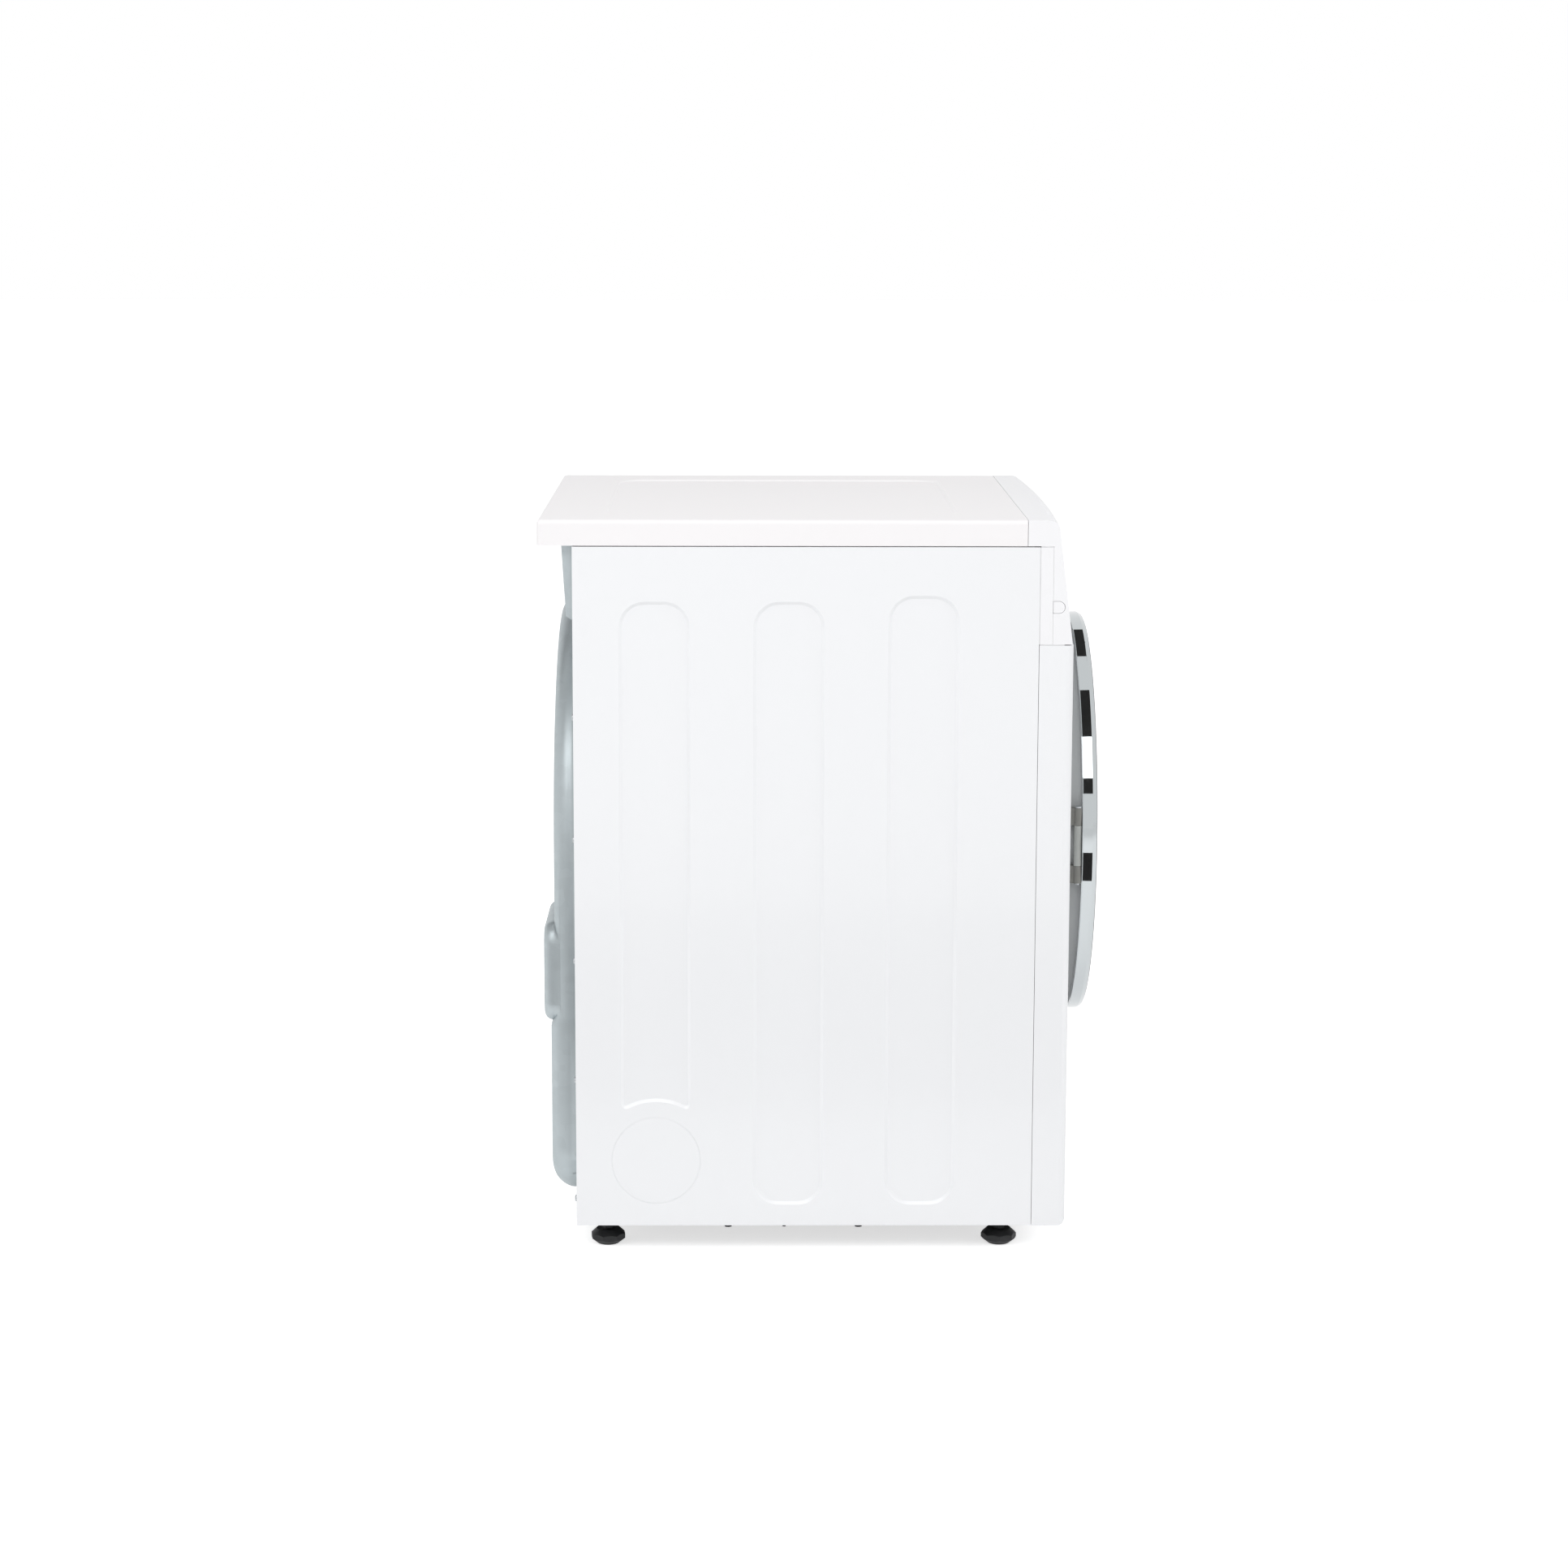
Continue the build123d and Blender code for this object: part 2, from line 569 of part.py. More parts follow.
def control_fascia():
    """Moulded panel with cut-outs for the display, buttons and knob, and a notch for each end tab."""
    panel = fascia_form(0) - fascia_form(FASCIA_WALL)
    notch = extrude(Plane.YZ * tab_outline(CONTROL_CLEARANCE), amount=HALF + 1, both=True)
    panel -= notch
    reach = 6 * FASCIA_WALL
    for _, x in button_sites():
        hole = Box(BUTTON_WIDTH + 2 * CONTROL_CLEARANCE, BUTTON_HEIGHT + 2 * CONTROL_CLEARANCE, reach)
        panel -= on_fascia(x, BUTTON_Z, hole)
    panel -= on_fascia(START_X, KNOB_Z, Cylinder(START_RADIUS + CONTROL_CLEARANCE, reach))
    panel -= on_fascia(0, KNOB_Z, Cylinder(AXLE_RADIUS + CONTROL_CLEARANCE, reach))
    opening = Box(DISPLAY_WIDTH - 2 * LENS_LAND, DISPLAY_HEIGHT - 2 * LENS_LAND, reach)
    panel -= on_fascia(DISPLAY_X, DISPLAY_Z, opening)
    ledge = Box(DISPLAY_WIDTH + SEAM, DISPLAY_HEIGHT + SEAM, FASCIA_WALL)
    return panel - on_fascia(DISPLAY_X, DISPLAY_Z, ledge)


def display_window():
    """Dark lens set into the fascia's ledge."""
    lens = Box(DISPLAY_WIDTH, DISPLAY_HEIGHT, FASCIA_WALL / 2)
    lens = fillet(lens.edges().filter_by(Axis.Z), LENS_CORNER)
    return on_fascia(DISPLAY_X, DISPLAY_Z, Pos(0, 0, -FASCIA_WALL / 4) * lens)


def control_carrier():
    """Frame behind the fascia: closes its ends, snaps into them and carries the board."""
    y = (CARRIER_FRONT + SEAM, SIDE_FRONT - SEAM)
    z = (FASCIA_BOTTOM, SIDE_TOP)
    frame = block((-HALF, HALF), y, z)
    frame -= block((-HALF + FASCIA_WALL, HALF - FASCIA_WALL), (y[0] - 1, y[1] - FASCIA_WALL),
                   (z[0] + FASCIA_WALL, z[1] - FASCIA_WALL))
    outline = tab_outline(0)
    inner = HALF - FASCIA_WALL - RUN_GAP
    root_z = (FASCIA_BOTTOM + TAB_RISE - TAB_HEIGHT, FASCIA_BOTTOM + TAB_RISE + TAB_HEIGHT)
    for side in (-1, 1):
        tab = extrude(Pos(side * (inner - FASCIA_WALL), 0, 0) * (Plane.YZ * outline),
                      amount=FASCIA_WALL + HALF - inner, dir=(side, 0, 0))
        x = sorted((side * (inner - FASCIA_WALL), side * inner))
        frame += tab + block(x, (CARRIER_FRONT - TAB_LENGTH / 2, y[1] - FASCIA_WALL), root_z)
    for x in (BOARD_LEFT + BOARD_EDGE, BOARD_RIGHT - BOARD_EDGE):
        for level in (BOARD_BOTTOM + BOARD_EDGE, BOARD_TOP - BOARD_EDGE):
            frame += rod(BOARD_POST_RADIUS, (BOARD_REAR, y[1] - FASCIA_WALL / 2), x, level)
    return frame


def control_board():
    """Printed board with the programme switch and the display on it."""
    board = block((BOARD_LEFT, BOARD_RIGHT), (BOARD_FRONT, BOARD_REAR), (BOARD_BOTTOM, BOARD_TOP))
    half = SWITCH_SIZE / 2
    board += block((-half, half), (BOARD_FRONT - SWITCH_HEIGHT, BOARD_FRONT), (KNOB_Z - half, KNOB_Z + half))
    wide = DISPLAY_WIDTH / 2 - DISPLAY_BODY_INSET
    tall = DISPLAY_HEIGHT / 2 - LENS_LAND
    depth = (BOARD_FRONT - DISPLAY_BODY_HEIGHT, BOARD_FRONT)
    return board + block((DISPLAY_X - wide, DISPLAY_X + wide), depth, (DISPLAY_Z - tall, DISPLAY_Z + tall))


def knob():
    """Fluted programme knob with its spindle and a notch that shows where it points."""
    radius = KNOB_RADIUS - KNOB_SKIRT
    grip = Pos(0, 0, RUN_GAP + KNOB_HEIGHT / 2) * Cylinder(radius, KNOB_HEIGHT)
    grip = chamfer(grip.edges().sort_by(Axis.Z)[-1], FLUTE_RADIUS)
    flutes = []
    for number in range(KNOB_FLUTES):
        turn = Rot(0, 0, number * 360 / KNOB_FLUTES)
        flutes.append(turn * Pos(radius + FLUTE_RADIUS / 3, 0, KNOB_HEIGHT / 2 + KNOB_SKIRT)
                      * Cylinder(FLUTE_RADIUS, KNOB_HEIGHT))
    skirt = Pos(0, 0, RUN_GAP + KNOB_SKIRT / 2) * Cylinder(KNOB_RADIUS, KNOB_SKIRT)
    mark = Pos(0, radius * 0.7, RUN_GAP + KNOB_HEIGHT) * Box(FLUTE_RADIUS, radius * 0.4, FLUTE_RADIUS)
    length = knob_reach()
    stem = Pos(0, 0, RUN_GAP - length / 2) * Cylinder(AXLE_RADIUS, length)
    return on_fascia(0, KNOB_Z, grip - flutes + skirt + stem - mark)


def knob_reach():
    """Length of the knob's spindle, from the fascia to just short of the switch."""
    return (BOARD_FRONT - SWITCH_HEIGHT - face_y(KNOB_Z)) * math.cos(TILT) - 2 * RUN_GAP


def stem_reach(x, z):
    """Depth from the fascia at (x, z) to just short of the board, with room to press."""
    face = BOW_CENTRE - math.sqrt((BOW_CENTRE - face_y(z)) ** 2 - x ** 2)
    return (BOARD_FRONT - face) * math.cos(TILT) - 2 * BUTTON_TRAVEL


def button(cap, x, z):
    """Push button: a cap in the fascia's hole and a stem that reaches to the board."""
    body = Pos(0, 0, BUTTON_PROUD - FASCIA_WALL) * extrude(cap, amount=2 * FASCIA_WALL, both=True)
    body = chamfer(body.edges().group_by(Axis.Z)[-1], CONTROL_CLEARANCE)
    length = stem_reach(x, z) - FASCIA_WALL
    stem = Pos(0, 0, -FASCIA_WALL - length / 2) * Cylinder(STEM_RADIUS, length)
    return on_fascia(x, z, body + stem)


# Door

def door_ring():
    """Bright ring: rear bead, mirror band, bevel and the ledge that holds the window."""
    lens = window_radius() + RUN_GAP
    ledge = GLASS_REAR + RUN_GAP
    outer = DOOR_RADIUS - RING_BEAD
    return turned([
        (DOOR_RADIUS, RING_REAR),
        (DOOR_RADIUS, RING_REAR - 2 * RING_BEAD),
        (outer, RING_REAR - 3 * RING_BEAD),
        (outer, RING_SHOULDER),
        (outer - RING_BEVEL, RING_FRONT),
        (lens, RING_FRONT),
        (lens, ledge),
        (lens - RING_LEDGE, ledge),
        (lens - RING_LEDGE, ledge + RING_WALL),
        (outer - RING_BEVEL - RING_WALL, ledge + RING_WALL),
        (outer - RING_WALL, RING_SHOULDER + RING_WALL / 2),
        (outer - RING_WALL, RING_REAR),
    ])


def window_radius():
    """Radius of the door's outer window."""
    return DOOR_RADIUS - RING_BEVEL - RING_LIP


def door_window():
    """Dark outer window: a shallow crowned disc with a bevelled edge."""
    radius = window_radius()
    bevel = GLASS_PROUD - RING_WALL / 5
    return turned([
        (0, GLASS_REAR),
        (radius, GLASS_REAR),
        (radius, GLASS_FRONT + bevel),
        (radius - 2 * bevel, GLASS_FRONT + bevel / 3),
        (radius - 10 * bevel, GLASS_FRONT),
        (0, GLASS_FRONT),
    ])


def door_liner():
    """Grey door body behind the ring: a wall, a back plate and the flange that the ring sits on."""
    flange = DOOR_RADIUS - RING_BEAD - RING_WALL - RUN_GAP
    inner = LINER_RADIUS - LINER_WALL
    front = GLASS_REAR + 2 * RUN_GAP + RING_WALL
    body = turned([
        (BOWL_RADIUS + RUN_GAP, LINER_REAR),
        (LINER_RADIUS, LINER_REAR),
        (LINER_RADIUS, RING_REAR),
        (flange, RING_REAR),
        (flange, RING_REAR - LINER_WALL),
        (LINER_RADIUS, RING_REAR - LINER_WALL),
        (LINER_RADIUS, front),
        (inner, front),
        (inner, LINER_REAR - LINER_WALL),
        (BOWL_RADIUS + RUN_GAP, LINER_REAR - LINER_WALL),
    ])
    y = (leaf_y()[0] - RUN_GAP, leaf_y()[1] + RUN_GAP)
    half = HINGE_LEAF_HEIGHT / 2 + RUN_GAP
    z = (DOOR_Z - half, DOOR_Z + half)
    return body - block((-LINER_RADIUS - 1, -inner + 2 * LINER_WALL), y, z)


def door_bowl():
    """Inner glass bowl that keeps the load in the drum."""
    land = BOWL_RADIUS + BOWL_LAND
    seat = LINER_REAR - LINER_WALL
    end = FACE + BOWL_DEPTH
    small = BOWL_RADIUS - BOWL_TAPER
    outer = [(land, seat - BOWL_WALL), (land, seat), (BOWL_RADIUS, seat), (BOWL_RADIUS, LINER_REAR),
             (small, end), (0, end)]
    inner = [(0, end - BOWL_WALL), (small - BOWL_WALL, end - BOWL_WALL),
             (BOWL_RADIUS - BOWL_WALL, LINER_REAR), (BOWL_RADIUS - BOWL_WALL, seat - BOWL_WALL)]
    section = make_face(Polyline(*outer, *inner, close=True))
    corner = section.vertices().sort_by_distance((small, end, 0))[0]
    hollow = section.vertices().sort_by_distance((small - BOWL_WALL, end - BOWL_WALL, 0))[0]
    section = fillet(corner, 4 * BOWL_WALL)
    section = fillet(section.vertices().sort_by_distance(tuple(hollow))[0], 3 * BOWL_WALL)
    return Pos(0, 0, DOOR_Z) * revolve(section, Axis.Y)


def door_seal():
    """Soft lip on the door's back that closes on the front panel round the hole."""
    inner = HOLE_RADIUS + 6
    return turned([
        (inner, LINER_REAR),
        (inner + SEAL_WIDTH, LINER_REAR),
        (inner + SEAL_WIDTH * 0.7, FACE - RUN_GAP),
        (inner + SEAL_WIDTH * 0.3, FACE - RUN_GAP),
    ])


def hinge_bracket():
    """Plate inside the front panel with two arms that reach out through it to the pin."""
    plate_y = (FACE + SHEET, FACE + SHEET + HINGE_PLATE)
    top = HINGE_ARM_Z + HINGE_ARM_HEIGHT
    x = (HINGE_X - HINGE_ARM_WIDTH - 2, HINGE_X + HINGE_ARM_WIDTH + 6)
    bracket = block(x, plate_y, (DOOR_Z - top, DOOR_Z + top))
    for side in (-1, 1):
        middle = DOOR_Z + side * HINGE_ARM_Z
        z = (middle - HINGE_ARM_HEIGHT / 2, middle + HINGE_ARM_HEIGHT / 2)
        bracket += block((HINGE_X - 1, HINGE_X - 1 + HINGE_ARM_WIDTH), (HINGE_Y, plate_y[1]), z)
        bracket += post(HINGE_BARREL_RADIUS, z, HINGE_X, HINGE_Y)
        bracket -= post(HINGE_PIN_RADIUS + FIT, (z[0] - 1, z[1] + 1), HINGE_X, HINGE_Y)
    return bracket


def hinge_pin():
    """Steel pin through the arms and the door's leaf."""
    reach = HINGE_ARM_Z + HINGE_ARM_HEIGHT / 2 + 2
    head = post(HINGE_PIN_RADIUS + 1.5, (DOOR_Z + reach - 2 + RUN_GAP, DOOR_Z + reach), HINGE_X, HINGE_Y)
    return post(HINGE_PIN_RADIUS, (DOOR_Z - reach, DOOR_Z + reach), HINGE_X, HINGE_Y) + head


def leaf_y():
    """Front and rear face of the hinge leaf."""
    front = HINGE_Y - HINGE_BARREL_RADIUS
    return front, front + HINGE_PLATE


def door_hinge_leaf():
    """Barrel on the pin and the plate that enters the door's body."""
    half = HINGE_LEAF_HEIGHT / 2
    z = (DOOR_Z - half, DOOR_Z + half)
    leaf = post(HINGE_BARREL_RADIUS, z, HINGE_X, HINGE_Y)
    leaf += block((HINGE_X, -LINER_RADIUS + 10 * LINER_WALL), leaf_y(), z)
    return leaf - post(HINGE_PIN_RADIUS + FIT, (z[0] - 1, z[1] + 1), HINGE_X, HINGE_Y)


def latch_hook():
    """Hook on the door's back that enters the catch."""
    z = (DOOR_Z - LATCH_HEIGHT / 2, DOOR_Z + LATCH_HEIGHT / 2)
    root = (LINER_REAR, LINER_REAR + HINGE_PLATE / 2)
    hook = block((LATCH_X - LATCH_WIDTH / 2, LATCH_X + LATCH_WIDTH / 2), (LINER_REAR, FACE + LATCH_DEPTH), z)
    nose = hook.edges().filter_by(Axis.Z).group_by(Axis.Y)[-1]
    hook = chamfer(nose, LATCH_WIDTH / 3)
    eye = block((LATCH_X - LATCH_WIDTH, LATCH_X + LATCH_WIDTH),
                (FACE + LATCH_DEPTH / 3, FACE + LATCH_DEPTH * 2 / 3),
                (z[0] + HOOK_FOOT / 2, z[1] - HOOK_FOOT / 2))
    foot = block((LATCH_X - LATCH_WIDTH, LATCH_X + LATCH_WIDTH), root, (z[0] - HOOK_FOOT, z[1] + HOOK_FOOT))
    return hook - eye + foot


def door_catch():
    """Catch behind the front panel, open where the hook enters."""
    reach = LATCH_WIDTH / 2 + LATCH_CLEARANCE
    rise = LATCH_HEIGHT / 2 + LATCH_CLEARANCE
    case = block((LATCH_X - reach - CATCH_WALL, LATCH_X + reach + CATCH_SIDE), (FACE + SHEET, CATCH_REAR),
                 (DOOR_Z - rise - CATCH_LUG, DOOR_Z + rise + CATCH_LUG))
    return case - block((LATCH_X - reach, LATCH_X + reach), (FACE, CATCH_REAR - CATCH_WALL),
                        (DOOR_Z - rise, DOOR_Z + rise))


# Drum

def drum_shell():
    """Rolled drum with a narrower neck at its mouth."""
    slope = SHOULDER + SHOULDER_DEPTH
    return turned([
        (NECK_RADIUS, NECK_FRONT),
        (NECK_RADIUS, SHOULDER),
        (DRUM_RADIUS, slope),
        (DRUM_RADIUS, DRUM_REAR),
        (DRUM_INNER, DRUM_REAR),
        (DRUM_INNER, slope + SHEET),
        (NECK_RADIUS - SHEET, SHOULDER + SHEET),
        (NECK_RADIUS - SHEET, NECK_FRONT),
    ])


def drum_back():
    """Drum's rear wall: a flanged disc with rings of air holes."""
    edge = DRUM_INNER - FIT
    disc = turned([
        (SPINDLE_RADIUS + FIT, DRUM_BACK),
        (edge, DRUM_BACK),
        (edge, DRUM_REAR),
        (edge - SHEET, DRUM_REAR),
        (edge - SHEET, DRUM_BACK + SHEET),
        (SPINDLE_RADIUS + FIT, DRUM_BACK + SHEET),
    ])
    holes = []
    for ring in range(4):
        orbit = AIR_RING_INNER + (ring + 0.5) * (AIR_RING_OUTER - AIR_RING_INNER) / 4
        count = 12 + 4 * ring
        for number in range(count):
            hole = rod(AIR_HOLE_RADIUS, (DRUM_BACK - 1, DRUM_BACK + 2), orbit, DOOR_Z)
            holes.append(about_y(hole, number * 360 / count + 9 * ring))
    return disc - holes


def drum_lifters():
    """Moulded paddles along the drum's wall."""
    foot = DRUM_INNER - FIT
    half = LIFTER_WIDTH / 2
    tip = half * 0.35
    z = -foot + LIFTER_HEIGHT
    section = make_face(Polyline((-half, -foot - 5), (-half, -foot + 10), (-tip, z), (tip, z),
                                 (half, -foot + 10), (half, -foot - 5), close=True))
    section = fillet(section.vertices().group_by(Axis.Y)[-1], tip * 0.9)
    y = (SHOULDER + 3 * SHOULDER_DEPTH, DRUM_BACK - RUN_GAP)
    paddle = Pos(0, 0, DOOR_Z) * prism(section, y) & rod(foot, y)
    return [about_y(paddle, 180 + number * 360 / LIFTER_COUNT) for number in range(LIFTER_COUNT)]


def drum_spindle():
    """Flange on the drum's back with the spindle that turns in the bush."""
    seat = DRUM_BACK + SHEET
    return turned([
        (0, DRUM_BACK - 2),
        (SPINDLE_RADIUS, DRUM_BACK - 2),
        (SPINDLE_RADIUS, seat),
        (5.5 * SPINDLE_RADIUS, seat),
        (5.5 * SPINDLE_RADIUS, seat + 4),
        (SPINDLE_RADIUS, seat + 4),
        (SPINDLE_RADIUS, REAR_SHEET_BACK + 6),
        (0, REAR_SHEET_BACK + 6),
    ])


def spindle_bush():
    """Sintered bush in the bearing housing."""
    return tube(BUSH_RADIUS, SPINDLE_RADIUS + FIT, hub_y())


def hub_y():
    """Front and rear face of the bearing housing's hub."""
    return REAR_SHEET_FRONT - HUB_FRONT, REAR_SHEET_BACK + HUB_REAR


def bearing_housing():
    """Cast housing that carries the bush in the rear panel."""
    front, rear = hub_y()
    flange = 2 * HUB_RADIUS
    return turned([
        (BUSH_RADIUS, front),
        (HUB_RADIUS, front),
        (HUB_RADIUS, REAR_SHEET_BACK),
        (flange, REAR_SHEET_BACK),
        (flange, REAR_SHEET_BACK + HUB_FLANGE),
        (HUB_RADIUS, REAR_SHEET_BACK + 1.5 * HUB_FLANGE),
        (HUB_RADIUS, rear),
        (BUSH_RADIUS, rear),
    ])


def front_drum_felt():
    """Felt between the bulkhead's rim and the drum's neck."""
    return tube(RIM_RADIUS + FELT_THICKNESS, RIM_RADIUS, (NECK_FRONT - 2, RIM_REAR))


def rear_drum_felt():
    """Felt ring between the rear panel and the drum."""
    return tube(DRUM_RADIUS - 8, DRUM_RADIUS - 26, (DRUM_REAR + RUN_GAP, REAR_SHEET_FRONT))


def drum_roller(side):
    """Rubber-tyred roller under the drum's neck."""
    y = (ROLLER_FRONT, ROLLER_FRONT + ROLLER_WIDTH)
    x = side * ROLLER_X
    roller = tube(ROLLER_RADIUS, AXLE_RADIUS + FIT, y, x, ROLLER_Z)
    for face in (y[0], y[1]):
        groove = tube(ROLLER_RADIUS - 4, AXLE_RADIUS + 4, (face - 3, face + 3), x, ROLLER_Z)
        roller -= groove
    return roller


def roller_axles():
    """Two stub axles pressed into the bulkhead."""
    axles = []
    for side in (-1, 1):
        axle = rod(AXLE_RADIUS, (PLATE_REAR, ROLLER_FRONT + ROLLER_WIDTH + 2), side * ROLLER_X, ROLLER_Z)
        axle += rod(AXLE_RADIUS + 3, (PLATE_REAR, ROLLER_FRONT - 1), side * ROLLER_X, ROLLER_Z)
        axles.append(axle)
    return axles


# Front bulkhead and lint filter

def funnel_space(grow):
    """Space inside the bulkhead's funnel, or its outside when grown by the wall."""
    rim = RIM_RADIUS - PLASTIC
    return turned([
        (0, FUNNEL_FRONT),
        (FUNNEL_RADIUS + grow, FUNNEL_FRONT),
        (FUNNEL_RADIUS + grow, FUNNEL_FLARE),
        (rim - FUNNEL_STEP + grow, FUNNEL_REAR),
        (rim + grow, FUNNEL_REAR + FUNNEL_STEP),
        (rim + grow, RIM_REAR),
        (0, RIM_REAR),
    ])


def front_bulkhead():
    """Moulded front support of the drum: plate, funnel to the door and rim for the felt."""
    low = ROLLER_Z - 3 * ROLLER_RADIUS
    plate = block((-HALF + BULKHEAD_MARGIN, HALF - BULKHEAD_MARGIN), (PLATE_FRONT, PLATE_REAR),
                  (low, FRONT_TOP - BULKHEAD_MARGIN))
    plate = fillet(plate.edges().filter_by(Axis.Y), 30)
    bulkhead = plate + funnel_space(PLASTIC) - funnel_space(0)
    half = FILTER_WIDTH / 2 + FILTER_CLEARANCE
    depth = FILTER_THICKNESS / 2 + FILTER_CLEARANCE
    return bulkhead - block((-half, half), (FILTER_MIDDLE - depth, FILTER_MIDDLE + depth),
                            (low - 1, DOOR_Z - HOLE_RADIUS))


def filter_duct():
    """Channel below the funnel that holds the filter and leads to the blower."""
    wall = AIR_DUCT_WALL
    half = FILTER_WIDTH / 2 + 2 * FILTER_CLEARANCE + wall
    low = BASE_RIM
    shelf = BLOWER_Z + INLET_RADIUS + 3 * wall
    left = BLOWER_X - INLET_RADIUS - 3 * wall
    neck_bottom = DOOR_Z - NECK_RADIUS

    def form(inset, extra):
        lower = block((left + inset, half - inset), (DUCT_FRONT + inset, DUCT_REAR - inset),
                      (low + inset, shelf - inset))
        upper = block((-half + inset, half - inset), (DUCT_FRONT + inset, DUCT_UPPER_REAR - inset),
                      (low + inset, DOOR_Z - HOLE_RADIUS + extra))
        return lower + upper

    duct = form(0, 0) - form(wall, 1) - funnel_space(PLASTIC + RUN_GAP)
    duct -= rod(NECK_RADIUS + 2, (NECK_FRONT - 1, DUCT_REAR + 1)) if shelf > neck_bottom else []
    return duct - rod(INLET_RADIUS, (DUCT_REAR - 2 * wall, DUCT_REAR + 1), BLOWER_X, BLOWER_Z)


def lint_filter():
    """Lift-out filter frame with open windows for its mesh and a finger bar."""
    half = FILTER_WIDTH / 2
    y = (FILTER_MIDDLE - FILTER_THICKNESS / 2, FILTER_MIDDLE + FILTER_THICKNESS / 2)
    z = (BASE_RIM + AIR_DUCT_WALL, DOOR_Z - HOLE_RADIUS)
    frame = block((-half, half), y, z) - funnel_space(0)
    rib = 6.0
    top = DOOR_Z - RIM_RADIUS - 2 * rib
    rows = 3
    height = (top - z[0] - rib) / rows
    width = (FILTER_WIDTH - rib) / 2
    windows = []
    for column in range(2):
        x = -half + rib + column * width
        for row in range(rows):
            low = z[0] + rib + row * height
            windows.append(block((x, x + width - rib), (y[0] - 1, y[1] + 1), (low, low + height - rib)))
    return frame - windows


# Drive and air path in the base

def motor_body():
    """Motor can with two end shields, bored for its shaft."""
    nose = MOTOR_RADIUS - SHIELD_LENGTH
    step = MOTOR_RADIUS - SHIELD_STEP
    body = turned([
        (SHAFT_RADIUS + FIT, MOTOR_FRONT),
        (nose, MOTOR_FRONT),
        (step, MOTOR_FRONT + SHIELD_LENGTH),
        (MOTOR_RADIUS, MOTOR_FRONT + SHIELD_LENGTH),
        (MOTOR_RADIUS, MOTOR_REAR - SHIELD_LENGTH),
        (step, MOTOR_REAR - SHIELD_LENGTH),
        (nose, MOTOR_REAR),
        (SHAFT_RADIUS + FIT, MOTOR_REAR),
    ], BLOWER_X, BLOWER_Z)
    vents = []
    for number in range(8):
        vent = block((BLOWER_X - VENT_WIDTH / 2, BLOWER_X + VENT_WIDTH / 2),
                     (MOTOR_FRONT - 1, MOTOR_FRONT + SHIELD_LENGTH / 2),
                     (BLOWER_Z + 3 * SHAFT_RADIUS, BLOWER_Z + nose - SHIELD_STEP))
        vents.append(about_y(vent, number * 45, BLOWER_X, BLOWER_Z))
    return body - vents


def motor_cradle():
    """Two saddles from the base up to the motor."""
    half = CRADLE_WIDTH / 2
    top = BLOWER_Z - CRADLE_DROP
    saddles = []
    for y in (MOTOR_FRONT + CRADLE_INSET, MOTOR_REAR - CRADLE_INSET - CRADLE_THICKNESS):
        span = (y, y + CRADLE_THICKNESS)
        saddle = block((BLOWER_X - half, BLOWER_X + half), span, (BASE_TOP, top))
        saddles.append(saddle - rod(MOTOR_RADIUS + FIT, (span[0] - 1, span[1] + 1), BLOWER_X, BLOWER_Z))
    return saddles


def motor_shaft():
    """Shaft with the blower wheel at its front end and the pulley at its rear end."""
    return rod(SHAFT_RADIUS, (wheel_y()[0] + 6, PULLEY_REAR + 3), BLOWER_X, BLOWER_Z)


def drive_pulley():
    """Flanged belt pulley on the shaft."""
    core = rod(PULLEY_RADIUS, (PULLEY_FRONT, PULLEY_REAR), BLOWER_X, BLOWER_Z)
    flange = 1.4
    for y in (PULLEY_FRONT, PULLEY_REAR - flange):
        core += rod(PULLEY_RADIUS + PULLEY_FLANGE, (y, y + flange), BLOWER_X, BLOWER_Z)
    return core - rod(SHAFT_RADIUS + FIT, (PULLEY_FRONT - 1, PULLEY_REAR + 1), BLOWER_X, BLOWER_Z)


def wheel_y():
    """Front and rear of the blower wheel inside its housing."""
    return BLOWER_FRONT + 8, BLOWER_REAR - 8


def blower_wheel():
    """Squirrel-cage wheel: hub, back plate, blades and front ring."""
    front, rear = wheel_y()
    disc = 2.5
    wheel = rod(WHEEL_RADIUS, (rear - disc, rear), BLOWER_X, BLOWER_Z)
    wheel += rod(2.5 * SHAFT_RADIUS, (front + 8, rear), BLOWER_X, BLOWER_Z)
    ring = tube(WHEEL_RADIUS, WHEEL_RADIUS - 10, (front, front + disc), BLOWER_X, BLOWER_Z)
    blade = block((BLOWER_X - 1, BLOWER_X + 1), (front, rear),
                  (BLOWER_Z + WHEEL_RADIUS - 12, BLOWER_Z + WHEEL_RADIUS - 1))
    blade = about_y(blade, 25, BLOWER_X, BLOWER_Z + WHEEL_RADIUS - 6)
    blades = [about_y(blade, n * 360 / BLADE_COUNT, BLOWER_X, BLOWER_Z) for n in range(BLADE_COUNT)]
    wheel = wheel + ring + blades
    return wheel - rod(SHAFT_RADIUS + FIT, (front, rear + 1), BLOWER_X, BLOWER_Z)


def outlet_z():
    """Bottom and top of the blower's outlet."""
    return BLOWER_Z - BLOWER_RADIUS, BLOWER_Z - BLOWER_RADIUS + 60


def outlet_x():
    """Where the blower's outlet ends and the exhaust duct begins."""
    return BLOWER_X + BLOWER_RADIUS + 10


